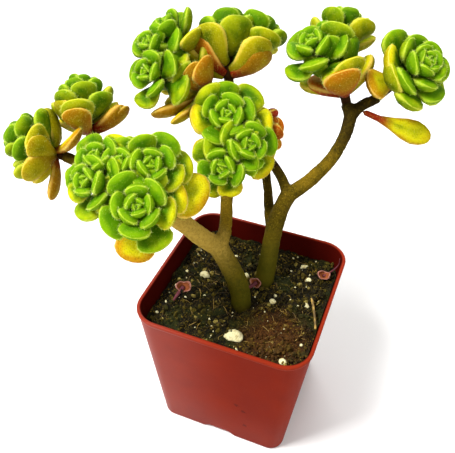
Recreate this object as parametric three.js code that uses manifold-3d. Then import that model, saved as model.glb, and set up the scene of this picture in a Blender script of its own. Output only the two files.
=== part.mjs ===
// A potted aeonium: two branching woody stems that carry rosettes of thick leaves,
// standing in dark potting mix in a small square plastic pot.
// Millimetres, +Z up. The origin is the middle of the pot's underside,
// +X is to the right and +Y is away from the pot's front.
import * as THREE from 'three';
import Module from 'manifold-3d';
import { mergeVertices } from 'three/addons/utils/BufferGeometryUtils.js';

const wasm = await Module();
wasm.setup();

// Driving dimensions
// The clearance between neighbouring pieces, and how far a cutting block reaches past what it cuts
const GAP = 0.3;
const CUT_PAST = 5;

const POT = {
  topSide: 57,
  bottomSide: 46,
  height: 57,
  topCorner: 8.7,
  bottomCorner: 5.2,
  wall: 0.9,
  floor: 1.2,
  rimHeight: 1.6,
  rimProud: 0.35,
  arcSteps: 4,
};

const FOOT_NOTCH = { width: 9.5, height: 1.4, length: 11, skin: 1.1 };
const DRAIN = { radius: 2, inset: 13.5, sides: 10 };

const SOIL = { top: 49.2, cells: 8, lump: 0.55 };

const LEAF = {
  stalk: 0.26,
  broadest: 0.8,
  capStart: 0.66,
  thickness: 0.4,
  thinnest: 1.3,
  bend: 16,
  innermostLean: 16,
};

// The angle from one leaf of a rosette to the next, and where its crowded heart begins
const GOLDEN_ANGLE = 137.5;
const HEART_START = 0.3;

// Colours
const COLOUR = {
  pot: 0xa33a26,
  soil: 0x2a1c12,
  bark: 0x6e5f2a,
  leaf: 0x86b02c,
  leafOld: 0xc0902c,
  perlite: 0xe8dfc6,
  dryLeaf: 0x8a5560,
  straw: 0xb8913f,
};

// Small helpers
const radians = (degrees) => THREE.MathUtils.degToRad(degrees);
const mix = (from, to, share) => from + (to - from) * share;
const clamp01 = (value) => Math.min(Math.max(value, 0), 1);
const ease = (value) => {
  const x = clamp01(value);
  return x * x * (3 - 2 * x);
};

// A repeatable draw between -1 and 1, named by a seed and a number
function draw(seed, number) {
  const wave = Math.sin(12.9898 * number + 78.233 * seed) * 43758.5453;
  return 2 * (wave - Math.floor(wave)) - 1;
}

const point = (xyz) => new THREE.Vector3(xyz[0], xyz[1], xyz[2]);

// From three.js geometry to a solid and back
function solid(geometry) {
  const bare = geometry.clone();
  bare.deleteAttribute('normal');
  bare.deleteAttribute('uv');
  const merged = mergeVertices(bare, 1e-4);
  const mesh = new wasm.Mesh({
    numProp: 3,
    vertProperties: new Float32Array(merged.attributes.position.array),
    triVerts: new Uint32Array(merged.index.array),
  });
  return new wasm.Manifold(mesh);
}

function union(solids) {
  let level = solids;
  while (level.length > 1) {
    const next = [];
    for (let i = 0; i < level.length; i += 2) {
      next.push(i + 1 < level.length ? level[i].add(level[i + 1]) : level[i]);
    }
    level = next;
  }
  return level[0];
}

const cut = (body, tools) => tools.reduce((rest, tool) => rest.subtract(tool), body);

// The largest piece of a solid, without the scraps that a cut leaves
function mainPiece(body) {
  const pieces = body.decompose();
  return pieces.reduce((best, piece) => (piece.volume() > best.volume() ? piece : best));
}

function toMesh(name, body, colour, roughness) {
  const { numProp, vertProperties, triVerts } = body.getMesh();
  const geometry = new THREE.BufferGeometry();
  const positions = new Float32Array((vertProperties.length / numProp) * 3);
  for (let i = 0; i < positions.length / 3; i += 1) {
    positions[3 * i] = vertProperties[numProp * i];
    positions[3 * i + 1] = vertProperties[numProp * i + 1];
    positions[3 * i + 2] = vertProperties[numProp * i + 2];
  }
  geometry.setAttribute('position', new THREE.BufferAttribute(positions, 3));
  geometry.setIndex(new THREE.BufferAttribute(new Uint32Array(triVerts), 1));
  geometry.computeVertexNormals();
  const material = new THREE.MeshStandardMaterial({ color: colour, roughness, metalness: 0 });
  const mesh = new THREE.Mesh(geometry, material);
  mesh.name = name;
  return mesh;
}

// Moves every vertex of a geometry by a rule
function reshape(geometry, rule) {
  const place = geometry.attributes.position;
  const old = new THREE.Vector3();
  for (let i = 0; i < place.count; i += 1) {
    old.fromBufferAttribute(place, i);
    const moved = rule(old);
    place.setXYZ(i, moved.x, moved.y, moved.z);
  }
  return geometry;
}

// Pot
function roundedSquare(side, corner) {
  const flat = side / 2 - corner;
  const shape = new THREE.Shape();
  shape.absarc(flat, flat, corner, 0, Math.PI / 2);
  shape.absarc(-flat, flat, corner, Math.PI / 2, Math.PI);
  shape.absarc(-flat, -flat, corner, Math.PI, 1.5 * Math.PI);
  shape.absarc(flat, -flat, corner, 1.5 * Math.PI, 2 * Math.PI);
  return shape;
}

// How far up the pot a height lies, from 0 at the foot to 1 at the top
const share = (height) => height / POT.height;
const sideAt = (height) => mix(POT.bottomSide, POT.topSide, share(height));
const cornerAt = (height) => mix(POT.bottomCorner, POT.topCorner, share(height));

// A block that follows the pot's tapered sides, set in by a margin, between two heights
function taperedBlock(low, high, margin) {
  const side = sideAt(high) - 2 * margin;
  const corner = cornerAt(high) - margin;
  const flat = side / 2 - corner;
  const geometry = new THREE.ExtrudeGeometry(roundedSquare(side, corner), {
    depth: high - low,
    steps: 1,
    bevelEnabled: false,
    curveSegments: POT.arcSteps,
  });
  return reshape(geometry, (old) => {
    const height = low + old.z;
    const cornerHere = cornerAt(height) - margin;
    const flatHere = sideAt(height) / 2 - margin - cornerHere;
    const nearX = Math.min(Math.max(old.x, -flat), flat);
    const nearY = Math.min(Math.max(old.y, -flat), flat);
    const outX = ((old.x - nearX) / corner) * cornerHere;
    const outY = ((old.y - nearY) / corner) * cornerHere;
    return new THREE.Vector3(
      (nearX / flat) * flatHere + outX,
      (nearY / flat) * flatHere + outY,
      height,
    );
  });
}

// One bar on each side of the foot, grown by a margin on every face
function footBars(margin) {
  const width = FOOT_NOTCH.width + 2 * margin;
  const height = FOOT_NOTCH.height + margin;
  const reach = POT.bottomSide / 2 + CUT_PAST;
  const inner = POT.bottomSide / 2 - FOOT_NOTCH.length - margin;
  const bars = [];
  for (let turn = 0; turn < 4; turn += 1) {
    const bar = new THREE.BoxGeometry(reach - inner, width, height + 1);
    bar.translate((reach + inner) / 2, 0, (height - 1) / 2);
    bar.rotateZ((turn * Math.PI) / 2);
    bars.push(solid(bar));
  }
  return bars;
}

function drainHoles() {
  const holes = [];
  for (let turn = 0; turn < 4; turn += 1) {
    const hole = new THREE.CylinderGeometry(DRAIN.radius, DRAIN.radius, 2 * CUT_PAST, DRAIN.sides);
    hole.rotateX(Math.PI / 2);
    hole.translate(DRAIN.inset, 0, 0);
    hole.rotateZ((turn * Math.PI) / 2);
    holes.push(solid(hole));
  }
  return holes;
}

function makePot() {
  const rimLow = POT.height - POT.rimHeight;
  const body = solid(taperedBlock(0, POT.height, POT.rimProud));
  const rim = solid(taperedBlock(rimLow, POT.height, 0));
  const hollow = solid(taperedBlock(POT.floor, POT.height + CUT_PAST, POT.rimProud + POT.wall));
  const covers = footBars(FOOT_NOTCH.skin);
  const cavity = cut(hollow, covers);
  const shell = body.add(rim).subtract(cavity);
  return cut(shell, [...footBars(0), ...drainHoles()]);
}

// Stems
function pathCurve(points) {
  return new THREE.CatmullRomCurve3(points.map(point), false, 'catmullrom', 0.5);
}

// A round, tapering branch along a path, grown by a margin
function branch(path, margin) {
  const curve = pathCurve(path.points);
  const steps = path.steps ?? Math.ceil((path.points.length - 1) * 1.4);
  const sides = path.sides ?? 7;
  const frames = curve.computeFrenetFrames(steps, false);
  const geometry = new THREE.CylinderGeometry(1, 1, 1, sides, steps);
  const last = path.radii.length - 1;
  return reshape(geometry, (old) => {
    const ring = Math.round((old.y + 0.5) * steps);
    const along = ring / steps;
    const place = curve.getUtoTmapping(along) * last;
    const below = Math.min(Math.floor(place), last - 1);
    const radius = mix(path.radii[below], path.radii[below + 1], place - below) + margin;
    const centre = curve.getPointAt(along);
    const end = ring === 0 ? -margin : 0;
    const beyond = ring === steps ? margin : end;
    return centre
      .addScaledVector(frames.tangents[ring], beyond)
      .addScaledVector(frames.normals[ring], old.x * radius)
      .addScaledVector(frames.binormals[ring], -old.z * radius);
  });
}

const LEFT_FORK = [-8.5, -3, 71.5];
const FRONT_ARM_END = [-22, -14.5, 91.5];
const RIGHT_FORK = [6.5, 19, 80];
const TOP_FORK = [19, 39.5, 101];

const STEMS = {
  stem_left: [
    { points: [[3, -4.5, 26], [1, -4, 42], [-1.5, -3.5, 58], LEFT_FORK], radii: [3, 3.3, 3.2, 3] },
    {
      points: [LEFT_FORK, [-11.5, -6.5, 76.5], [-16.5, -11, 85], FRONT_ARM_END],
      radii: [3, 2.8, 2.7, 2.4],
    },
    {
      points: [[-19, -13, 88.5], [-30, -9.5, 92.5], [-43, -3, 94], [-51, 2.5, 96.5]],
      radii: [2.2, 1.9, 1.7, 1.6],
    },
    { points: [[-36, -6.5, 93], [-48, -6, 92.5], [-58, -6, 94]], radii: [1.7, 1.6, 1.5] },
    { points: [LEFT_FORK, [-7.5, 0, 76], [-9.5, 6, 82], [-12, 12.5, 85]], radii: [2.6, 2.1, 2, 1.9] },
  ],
  stem_right: [
    {
      points: [[3, 4, 26], [3.5, 6.5, 42], [4, 10, 56], [4, 14, 66], [5, 16.5, 75], RIGHT_FORK],
      radii: [3.1, 3.3, 3.1, 2.9, 2.7, 2.6],
    },
    {
      points: [[4, 14, 67], [1, 18.5, 72], [-2, 24.5, 77], [-6, 30.5, 83], [-14, 36, 92], [-20.5, 35, 103]],
      radii: [2, 1.7, 1.6, 1.6, 1.6, 1.5],
    },
    { points: [RIGHT_FORK, [3.5, 22.5, 83], [-0.5, 26, 85]], radii: [1.9, 1.6, 1.5] },
    {
      points: [RIGHT_FORK, [12, 23, 85], [15.5, 26.5, 89], [17.5, 30, 92], [19, 35, 96.5], TOP_FORK, [17, 41.5, 104]],
      radii: [2.5, 2.2, 2.1, 2.1, 2, 2.1, 1.9],
    },
    { points: [TOP_FORK, [21.5, 43, 103.5], [26, 47, 105]], radii: [2, 1.8, 1.6] },
  ],
};

const makeStem = (paths, margin) => union(paths.map((path) => solid(branch(path, margin))));

// Leaves
// A unit vector that points round by a turn and up by a rise
function heading(turn, rise) {
  return new THREE.Vector3(
    Math.cos(radians(rise)) * Math.cos(radians(turn)),
    Math.cos(radians(rise)) * Math.sin(radians(turn)),
    Math.sin(radians(rise)),
  );
}

function headFrame(head) {
  const axis = heading(head.turn, head.rise);
  const side = new THREE.Vector3(0, 0, 1).cross(axis).normalize();
  const other = axis.clone().cross(side);
  return { axis, side, other };
}

// The shares of the leaf's width and thickness along its length from 0 to 1.
// A neck keeps the stalk narrow for that share of the length.
function leafWidth(along, neck) {
  const rise = mix(LEAF.stalk * (1 - neck), 1, ease((along - neck) / (LEAF.broadest - neck)));
  const cap = clamp01((along - LEAF.capStart) / (1 - LEAF.capStart));
  return rise * Math.sqrt(1 - cap ** 2.6);
}

function leafThickness(along) {
  const rise = mix(0.6, 1, ease(along / 0.5));
  const cap = clamp01((along - 0.62) / 0.38);
  return rise * Math.sqrt(1 - cap ** 2.4);
}

const OLD_LEAF = { sides: 6, stations: [0, 0.3, 0.72, 0.95, 1] };
const YOUNG_LEAF = { sides: 4, stations: [0, 0.35, 0.86, 1] };

// A thick leaf: its middle line bends evenly from one lean to another, away from the head's axis
function leaf(head, spec) {
  const { axis, side, other } = headFrame(head);
  const { sides, stations } = spec.lean > 68 ? OLD_LEAF : YOUNG_LEAF;
  const out = side.clone().multiplyScalar(Math.cos(radians(spec.turn)));
  out.addScaledVector(other, Math.sin(radians(spec.turn)));
  const root = point(head.at).addScaledVector(axis, spec.height).addScaledVector(out, 0.8);
  const start = radians(spec.lean + spec.bend);
  const change = radians(-2 * spec.bend);
  const thick = Math.max(LEAF.thinnest, LEAF.thickness * spec.width);
  const rings = stations.length - 1;
  const geometry = new THREE.SphereGeometry(1, sides, rings);
  return reshape(geometry, (old) => {
    const polar = Math.acos(Math.min(Math.max(old.y, -1), 1));
    const along = stations[Math.round((polar / Math.PI) * rings)];
    const round = Math.atan2(old.z, -old.x);
    const angle = start + change * along;
    const alongAxis = (Math.sin(angle) - Math.sin(start)) / change;
    const alongOut = (Math.cos(start) - Math.cos(angle)) / change;
    const ahead = axis.clone().multiplyScalar(Math.cos(angle)).addScaledVector(out, Math.sin(angle));
    const flatUp = axis.clone().multiplyScalar(Math.sin(angle)).addScaledVector(out, -Math.cos(angle));
    const flatAcross = ahead.clone().cross(flatUp);
    const roll = radians(spec.roll);
    const across = flatAcross.clone().multiplyScalar(Math.cos(roll)).addScaledVector(flatUp, Math.sin(roll));
    const up = flatUp.clone().multiplyScalar(Math.cos(roll)).addScaledVector(flatAcross, -Math.sin(roll));
    const isPole = Math.abs(old.y) > 1 - 1e-6;
    const width = isPole ? 0 : (spec.width / 2) * leafWidth(along, spec.neck ?? 0) * Math.cos(round);
    const lift = Math.sin(round) > 0 ? 0.45 : 0.55;
    const height = isPole ? 0 : thick * leafThickness(along) * lift * Math.sin(round);
    return root
      .clone()
      .addScaledVector(axis, spec.long * alongAxis)
      .addScaledVector(out, spec.long * alongOut)
      .addScaledVector(across, width)
      .addScaledVector(up, height);
  });
}

// The leaves of a rosette: each is turned on from the last by the golden angle,
// and is shorter, steeper and higher up the axis than the one before.
// The heart is so crowded that every second one of its leaves is enough to fill it.
function rosetteLeaves(head, seed) {
  const leaves = [];
  for (let i = 0; i < head.leaves; i += 1) {
    const age = i / (head.leaves - 1);
    if (age > HEART_START && i % 2 === 1) {
      continue;
    }
    const long = mix(head.long, head.young, age ** 1.2) * (1 + 0.05 * draw(seed, 3 * i));
    leaves.push({
      turn: head.spin + GOLDEN_ANGLE * i,
      lean: mix(head.spread, LEAF.innermostLean, age ** 1.25) + 4 * draw(seed, 3 * i + 1) - (head.bent?.[i] ?? 0),
      roll: 6 * draw(seed, 3 * i + 2),
      long,
      width: long * (head.broad + 0.08 * age),
      height: head.tall * age ** 0.85,
      bend: mix(LEAF.bend, 10, age),
    });
  }
  for (const [turn, lean, long, width] of head.extra ?? []) {
    leaves.push({ turn, lean, long, width, roll: 0, height: 0, bend: 14 });
  }
  return leaves;
}

// Rosettes by cluster: where each sits, where it faces, and how its leaves are set.
// extra lists the leaves that stand out, as turn, lean, length and width,
// and bent the leaves, by number, that are leaned in by so many degrees to clear a neighbour.
const CLUSTERS = {
  rosettes_front: {
    heads: [
      {
        at: [-22.5, -22.5, 97], turn: 292, rise: 44, leaves: 16, long: 12.5, young: 4.5, tall: 6,
        spread: 78, broad: 0.88, spin: 20, extra: [[258, 106, 14.5, 11.5]],
      },
      {
        at: [-24, -13.5, 102.5], turn: 302, rise: 50, leaves: 14, long: 11.5, young: 4.5, tall: 6,
        spread: 78, broad: 0.88, spin: 0, extra: [[322, 88, 16.5, 14.5]],
      },
      {
        at: [-29.5, -15, 102], turn: 272, rise: 52, leaves: 11, long: 10, young: 4.5, tall: 5,
        spread: 76, broad: 0.88, spin: 60,
      },
      {
        at: [-34, -20.5, 99.5], turn: 250, rise: 40, leaves: 13, long: 10.5, young: 4.5, tall: 6,
        spread: 76, broad: 0.88, spin: 0,
      },
      {
        at: [-36, -16.5, 101.5], turn: 255, rise: 62, leaves: 10, long: 10.5, young: 4.5, tall: 5,
        spread: 74, broad: 0.88, spin: 100,
      },
    ],
    twigs: [
      [[-21, -13.5, 90], [-22.5, -22.5, 97]],
      [[-21, -13.5, 90], [-24, -13.5, 102.5]],
      [[-22, -14.5, 91], [-29.5, -15, 102]],
      [[-22, -14.5, 91], [-34, -20.5, 99.5]],
      [[-29.5, -15, 100], [-36, -16.5, 101.5]],
    ],
  },
  rosette_far_left: {
    heads: [
      {
        at: [-61, -6, 94.5], turn: 186, rise: 18, leaves: 23, long: 13, young: 5, tall: 11,
        spread: 78, broad: 0.76, spin: 0, bent: { 1: 25 },
        extra: [[40, 70, 13, 8], [82, 118, 14, 8], [318, 110, 14, 8]],
      },
    ],
    twigs: [[[-56, -5.5, 93.5], [-61, -6, 94.5]]],
  },
  rosette_left: {
    heads: [
      {
        at: [-54.4, 4, 97.4], turn: 130, rise: 50, leaves: 22, long: 13.5, young: 5.5, tall: 13,
        spread: 68, broad: 0.78, spin: 20, bent: { 0: 36, 5: 12 }, extra: [[70, 66, 14, 9], [160, 66, 14, 8]],
      },
    ],
    twigs: [[[-50, 2, 95.5], [-54.4, 4, 97.4]]],
  },
  rosettes_back: {
    heads: [
      {
        at: [-27, 29.5, 105], turn: 190, rise: 40, leaves: 12, long: 14, young: 8, tall: 9,
        spread: 70, broad: 0.76, spin: 60, bent: { 0: 20, 8: 5 },
        extra: [[340, 80, 17, 8], [325, 62, 19, 10], [40, 45, 14, 9]],
      },
      {
        at: [-37, 22, 110], turn: 245, rise: 38, leaves: 11, long: 11.5, young: 4.5, tall: 6,
        spread: 76, broad: 0.88, spin: 0,
      },
      {
        at: [-39.5, 29.5, 113.5], turn: 235, rise: 48, leaves: 11, long: 12, young: 4.5, tall: 7,
        spread: 76, broad: 0.88, spin: 0,
      },
      {
        at: [-35.5, 34, 115.5], turn: 200, rise: 60, leaves: 8, long: 12.5, young: 6, tall: 7,
        spread: 58, broad: 0.7, spin: 40,
      },
      {
        at: [-20.5, 34.5, 109.5], turn: 110, rise: 48, leaves: 15, long: 16, young: 8, tall: 13,
        spread: 62, broad: 0.78, spin: 0, extra: [[150, 66, 15, 11.5], [30, 50, 15.5, 10]],
      },
      {
        at: [-18, 45, 112.5], turn: 75, rise: 50, leaves: 11, long: 14, young: 7, tall: 7,
        spread: 64, broad: 0.82, spin: 0,
      },
    ],
    twigs: [
      [[-20, 35, 101.5], [-20.5, 34.5, 109.5]],
      [[-20, 35, 101.5], [-27, 29.5, 105]],
      [[-27, 29.5, 105], [-37, 22, 110]],
      [[-27, 29.5, 105], [-39.5, 29.5, 113.5]],
      [[-27, 29.5, 105], [-35.5, 34, 115.5]],
      [[-20.5, 34.5, 109.5], [-18, 45, 112.5]],
    ],
  },
  rosettes_middle: {
    heads: [
      {
        at: [-16, 24, 98.5], turn: 285, rise: 50, leaves: 17, long: 14, young: 4.5, tall: 7,
        spread: 78, broad: 0.86, spin: 0, bent: { 1: 26, 4: 12 }, extra: [[60, 92, 12, 9.5]],
      },
      {
        at: [-11, 19.5, 93.5], turn: 315, rise: 38, leaves: 15, long: 13, young: 4.5, tall: 7,
        spread: 78, broad: 0.86, spin: 30, extra: [[350, 100, 13.5, 9], [20, 96, 13, 9]],
      },
      {
        at: [-12.5, 15.5, 90.5], turn: 275, rise: 20, leaves: 13, long: 12, young: 4.5, tall: 6,
        spread: 78, broad: 0.86, spin: 100, extra: [[170, 92, 12, 9]],
      },
      {
        at: [-11.5, 30, 93], turn: 5, rise: 25, leaves: 5, long: 10, young: 8, tall: 5,
        spread: 74, broad: 0.66, spin: 0,
      },
    ],
    twigs: [
      [[-11.5, 11.5, 84], [-12.5, 15.5, 90.5]],
      [[-12.5, 15.5, 89], [-11, 19.5, 93.5]],
      [[-11, 19.5, 93], [-16, 24, 98.5]],
      [[-11, 19.5, 92], [-11.5, 30, 93]],
      [[0.5, 25.5, 84.5], [-11.5, 30, 93]],
    ],
  },
  rosettes_right: {
    heads: [
      {
        at: [15.5, 43, 106.5], turn: 155, rise: 60, leaves: 9, long: 14, young: 10, tall: 10,
        spread: 66, broad: 0.76, spin: 150, bent: { 0: 15 },
        extra: [[45, 54, 14, 12.5], [285, 50, 12, 11.5]],
      },
      {
        at: [7, 44, 114.5], turn: 225, rise: 58, leaves: 14, long: 12.5, young: 4.5, tall: 7,
        spread: 76, broad: 0.86, spin: 0,
      },
      {
        at: [10, 52, 115.5], turn: 90, rise: 55, leaves: 12, long: 13.5, young: 6, tall: 8,
        spread: 62, broad: 0.8, spin: 90,
      },
    ],
    twigs: [
      [[17.5, 41, 103], [15.5, 43, 106.5]],
      [[15.5, 43, 106.5], [7, 44, 114.5]],
      [[15.5, 43, 106.5], [10, 52, 115.5]],
    ],
  },
  rosette_far_right: {
    heads: [
      {
        at: [30, 52, 109.5], turn: 328, rise: 47, leaves: 23, long: 15, young: 4, tall: 12,
        spread: 74, broad: 0.8, spin: 40, bent: { 1: 22, 3: 6 }, extra: [[172, 82, 13, 10.5]],
      },
    ],
    twigs: [[[24.5, 46, 104.5], [30, 52, 109.5]]],
  },
};

// The woody core that a rosette's leaves are rooted in
function headCore(head) {
  const axis = heading(head.turn, head.rise);
  const low = point(head.at).addScaledVector(axis, -1);
  const high = point(head.at).addScaledVector(axis, head.tall + 1);
  return { points: [low.toArray(), high.toArray()], radii: [1.7, 1.2], steps: 1, sides: 6 };
}

function makeCluster(cluster, seed, stemRoom) {
  const parts = [];
  cluster.heads.forEach((head, number) => {
    parts.push(solid(branch(headCore(head), 0)));
    for (const spec of rosetteLeaves(head, seed + number)) {
      parts.push(solid(leaf(head, spec)));
    }
  });
  for (const points of cluster.twigs) {
    parts.push(solid(branch({ points, radii: [1.5, 1.6], steps: 1, sides: 6 }, 0)));
  }
  return mainPiece(union(parts).subtract(stemRoom));
}

// The long leaf that hangs below the right-hand fork
const LONG_LEAF = {
  head: { at: [21.5, 41.5, 102.5], turn: 290, rise: 40 },
  spec: { turn: 340, lean: 92, long: 23.5, width: 8, roll: 0, height: 0, bend: 8, neck: 0.28 },
};

// Loose pieces on the soil
function lump(size, seed) {
  const geometry = new THREE.DodecahedronGeometry(1, 0);
  return reshape(geometry, (old) => {
    const mark = Math.round(40 * old.x) + 3 * Math.round(40 * old.y) + 7 * Math.round(40 * old.z);
    const swell = 1 + 0.12 * draw(seed, mark);
    return new THREE.Vector3(old.x * size[0] * swell, old.y * size[1] * swell, old.z * size[2] * swell);
  });
}

const soilHeight = (x, y) =>
  SOIL.top +
  SOIL.lump * (Math.sin(0.45 * x + 1) * Math.cos(0.38 * y) + 0.6 * Math.sin(0.9 * x - 0.7 * y)) +
  0.35 * draw(5, Math.round(x * 10) + 31 * Math.round(y * 10));

const PERLITE = [
  { at: [2.5, -17.7], size: [3, 2.2, 1.7] },
  { at: [-2.7, 8.4], size: [1.2, 1.2, 1] },
  { at: [9.5, 1], size: [1.1, 1, 0.9] },
  { at: [20, 3.5], size: [1.3, 1, 0.9] },
  { at: [18, 14.5], size: [1.1, 0.9, 0.9] },
  { at: [19.7, -21.3], size: [1.2, 1.1, 1] },
  { at: [15.2, 20.4], size: [2, 1, 1] },
  { at: [-16.2, 3.7], size: [1.8, 1.2, 1] },
];

const DRY_LEAVES = [
  { at: [-16.6, -8.6], turn: 60, long: 6.5, width: 4.2, bend: 55 },
  { at: [0, 2.6], turn: 275, long: 5, width: 3.6, bend: 60 },
  { at: [20.9, 22.7], turn: 200, long: 6, width: 3.8, bend: 65 },
];

const STRAW = {
  points: [[21.3, 6, 50.8], [23.9, -0.5, 51.2], [25.9, -6.8, 51.8]],
  radii: [0.45, 0.4, 0.35],
  steps: 2,
  sides: 5,
};

function perlite(grain, seed, margin) {
  const size = grain.size.map((half) => half + margin);
  const geometry = lump(size, seed);
  geometry.translate(grain.at[0], grain.at[1], soilHeight(grain.at[0], grain.at[1]) + 0.35 * grain.size[2]);
  return solid(geometry);
}

function dryLeaf(spec, margin) {
  const head = { at: [0, 0, 0], turn: 0, rise: 90 };
  const shape = {
    turn: spec.turn, lean: 90 - spec.bend / 3, long: spec.long, roll: 12, height: 0,
    width: spec.width + 2 * margin, bend: spec.bend,
  };
  const geometry = leaf(head, shape);
  geometry.translate(spec.at[0], spec.at[1], soilHeight(spec.at[0], spec.at[1]) + 0.1);
  return solid(geometry);
}

// Soil
function makeSoil(holes) {
  const low = POT.floor + GAP;
  const margin = POT.rimProud + POT.wall + GAP;
  const filling = solid(taperedBlock(low, POT.height, margin));
  const side = sideAt(POT.height) + 4;
  const box = new THREE.BoxGeometry(side, side, 80, SOIL.cells, SOIL.cells, 1);
  reshape(box, (old) => {
    const isTop = old.z > 0;
    return new THREE.Vector3(old.x, old.y, isTop ? soilHeight(old.x, old.y) : -20);
  });
  return cut(filling.intersect(solid(box)), [...footBars(FOOT_NOTCH.skin + GAP), ...holes]);
}

// The scene
const plant = new THREE.Group();
plant.add(toMesh('pot', makePot(), COLOUR.pot, 0.45));

const stemRooms = {};
for (const [name, paths] of Object.entries(STEMS)) {
  stemRooms[name] = makeStem(paths, GAP);
  plant.add(toMesh(name, makeStem(paths, 0), COLOUR.bark, 0.8));
}
const stemRoom = stemRooms.stem_left.add(stemRooms.stem_right);

let seed = 1;
for (const [name, cluster] of Object.entries(CLUSTERS)) {
  plant.add(toMesh(name, makeCluster(cluster, seed, stemRoom), COLOUR.leaf, 0.6));
  seed += 10;
}

const longLeaf = solid(leaf(LONG_LEAF.head, LONG_LEAF.spec)).subtract(stemRoom);
plant.add(toMesh('leaf_long', mainPiece(longLeaf), COLOUR.leafOld, 0.6));

const soilHoles = [stemRoom];
PERLITE.forEach((grain, number) => {
  soilHoles.push(perlite(grain, number, GAP));
  plant.add(toMesh(`perlite_${number + 1}`, perlite(grain, number, 0), COLOUR.perlite, 0.9));
});
DRY_LEAVES.forEach((spec, number) => {
  soilHoles.push(dryLeaf(spec, GAP));
  plant.add(toMesh(`dry_leaf_${number + 1}`, dryLeaf(spec, 0), COLOUR.dryLeaf, 0.8));
});
soilHoles.push(solid(branch(STRAW, GAP)));
plant.add(toMesh('straw_1', solid(branch(STRAW, 0)), COLOUR.straw, 0.8));
plant.add(toMesh('soil', makeSoil(soilHoles), COLOUR.soil, 0.95));

export default plant;
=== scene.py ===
# %% [markdown]
# # A potted aeonium
# The object is a small succulent shrub: two woody stems fork low over a square nursery pot and
# carry rosettes of thick, downy leaves. The imported solids are the fixed frame of the model, so
# the first step is to load them.

# %% Load the frame
import math

import bpy
import numpy as np
from mathutils import Matrix, Vector


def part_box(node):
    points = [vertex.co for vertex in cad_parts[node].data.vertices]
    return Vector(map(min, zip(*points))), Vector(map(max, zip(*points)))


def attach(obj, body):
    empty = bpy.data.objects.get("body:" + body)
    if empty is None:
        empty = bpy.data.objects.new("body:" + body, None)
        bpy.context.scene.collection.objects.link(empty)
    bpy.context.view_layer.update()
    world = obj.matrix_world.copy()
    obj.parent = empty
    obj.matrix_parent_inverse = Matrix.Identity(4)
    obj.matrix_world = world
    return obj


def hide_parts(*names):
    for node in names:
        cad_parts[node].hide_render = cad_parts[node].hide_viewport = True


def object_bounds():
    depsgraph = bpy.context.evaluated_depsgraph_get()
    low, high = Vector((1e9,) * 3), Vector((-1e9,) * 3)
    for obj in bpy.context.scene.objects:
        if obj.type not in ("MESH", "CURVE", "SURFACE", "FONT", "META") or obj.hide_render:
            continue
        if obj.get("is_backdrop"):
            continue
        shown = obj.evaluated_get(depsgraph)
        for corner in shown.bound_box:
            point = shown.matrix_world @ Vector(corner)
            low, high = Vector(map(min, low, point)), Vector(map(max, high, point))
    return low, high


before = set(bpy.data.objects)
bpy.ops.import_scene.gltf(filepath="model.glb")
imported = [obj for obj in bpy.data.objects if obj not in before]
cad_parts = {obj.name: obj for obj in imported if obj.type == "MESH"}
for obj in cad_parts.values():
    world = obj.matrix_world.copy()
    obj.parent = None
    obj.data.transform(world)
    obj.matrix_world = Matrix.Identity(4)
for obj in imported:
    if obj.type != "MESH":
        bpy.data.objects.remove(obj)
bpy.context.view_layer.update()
MM = 0.001

# %% [markdown]
# ## The camera
# The photograph was taken close by, from above and a little to the right of the pot's front.
# A camera could be placed by eye, but the pot is a square of known shape, so its outline fixes
# the view: these are the turn, height, distance and lens at which the outline fits.

# %% Camera
VIEW = dict(azimuth=20.87, elevation=41.02, roll=1.05, distance=185.0, target=(-8.53, 4.69, 73.55))
LENS_PIXELS = 582.27
PHOTO_WIDTH = 455
SENSOR = 36.0
NEAREST_SEEN = 0.01


def add_camera():
    """Looks at the target from the given turn round the pot and height above the table."""
    azimuth, elevation = math.radians(VIEW["azimuth"]), math.radians(VIEW["elevation"])
    back = Vector((math.sin(azimuth) * math.cos(elevation),
                   -math.cos(azimuth) * math.cos(elevation), math.sin(elevation)))
    data = bpy.data.cameras.new("camera")
    data.sensor_width = SENSOR
    data.lens = SENSOR * LENS_PIXELS / PHOTO_WIDTH
    data.clip_start = NEAREST_SEEN
    camera = bpy.data.objects.new("camera", data)
    bpy.context.scene.collection.objects.link(camera)
    turn = (-back).to_track_quat("-Z", "Y").to_matrix().to_4x4()
    roll = Matrix.Rotation(math.radians(VIEW["roll"]), 4, "Z")
    place = Matrix.Translation((Vector(VIEW["target"]) + back * VIEW["distance"]) * MM)
    camera.matrix_world = place @ turn @ roll
    bpy.context.scene.camera = camera
    return camera


camera = add_camera()
print("lens of", round(camera.data.lens, 1), "mm")

# %% [markdown]
# ## Floor and light
# The object stands on a plain pale floor. It could be a rounded studio sweep, but the camera
# looks down on it, so one wide flat square is enough. It is part of the stage, not of the object.

# %% Floor
FLOOR = dict(half=1.5, colour=(0.9, 0.9, 0.89, 1), roughness=0.9)


def add_floor():
    """A wide flat square under the pot's foot."""
    mesh = bpy.data.meshes.new("floor")
    half = FLOOR["half"]
    mesh.from_pydata([(-half, -half, 0), (half, -half, 0), (half, half, 0), (-half, half, 0)],
                     [], [(0, 1, 2, 3)])
    floor = bpy.data.objects.new("floor", mesh)
    bpy.context.scene.collection.objects.link(floor)
    material = bpy.data.materials.new("pale_floor")
    material.use_nodes = True
    surface = material.node_tree.nodes["Principled BSDF"]
    surface.inputs["Base Color"].default_value = FLOOR["colour"]
    surface.inputs["Roughness"].default_value = FLOOR["roughness"]
    mesh.materials.append(material)
    floor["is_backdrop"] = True


add_floor()
print("floor is", 2 * FLOOR["half"], "m wide")

# %% [markdown]
# The light is that of a soft studio. One bright lamp would cut hard, black shadows, so there are
# three: the key light over the left shoulder, a wide, weak one that fills from the right, and
# one behind. White surroundings keep the shadows open.

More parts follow.
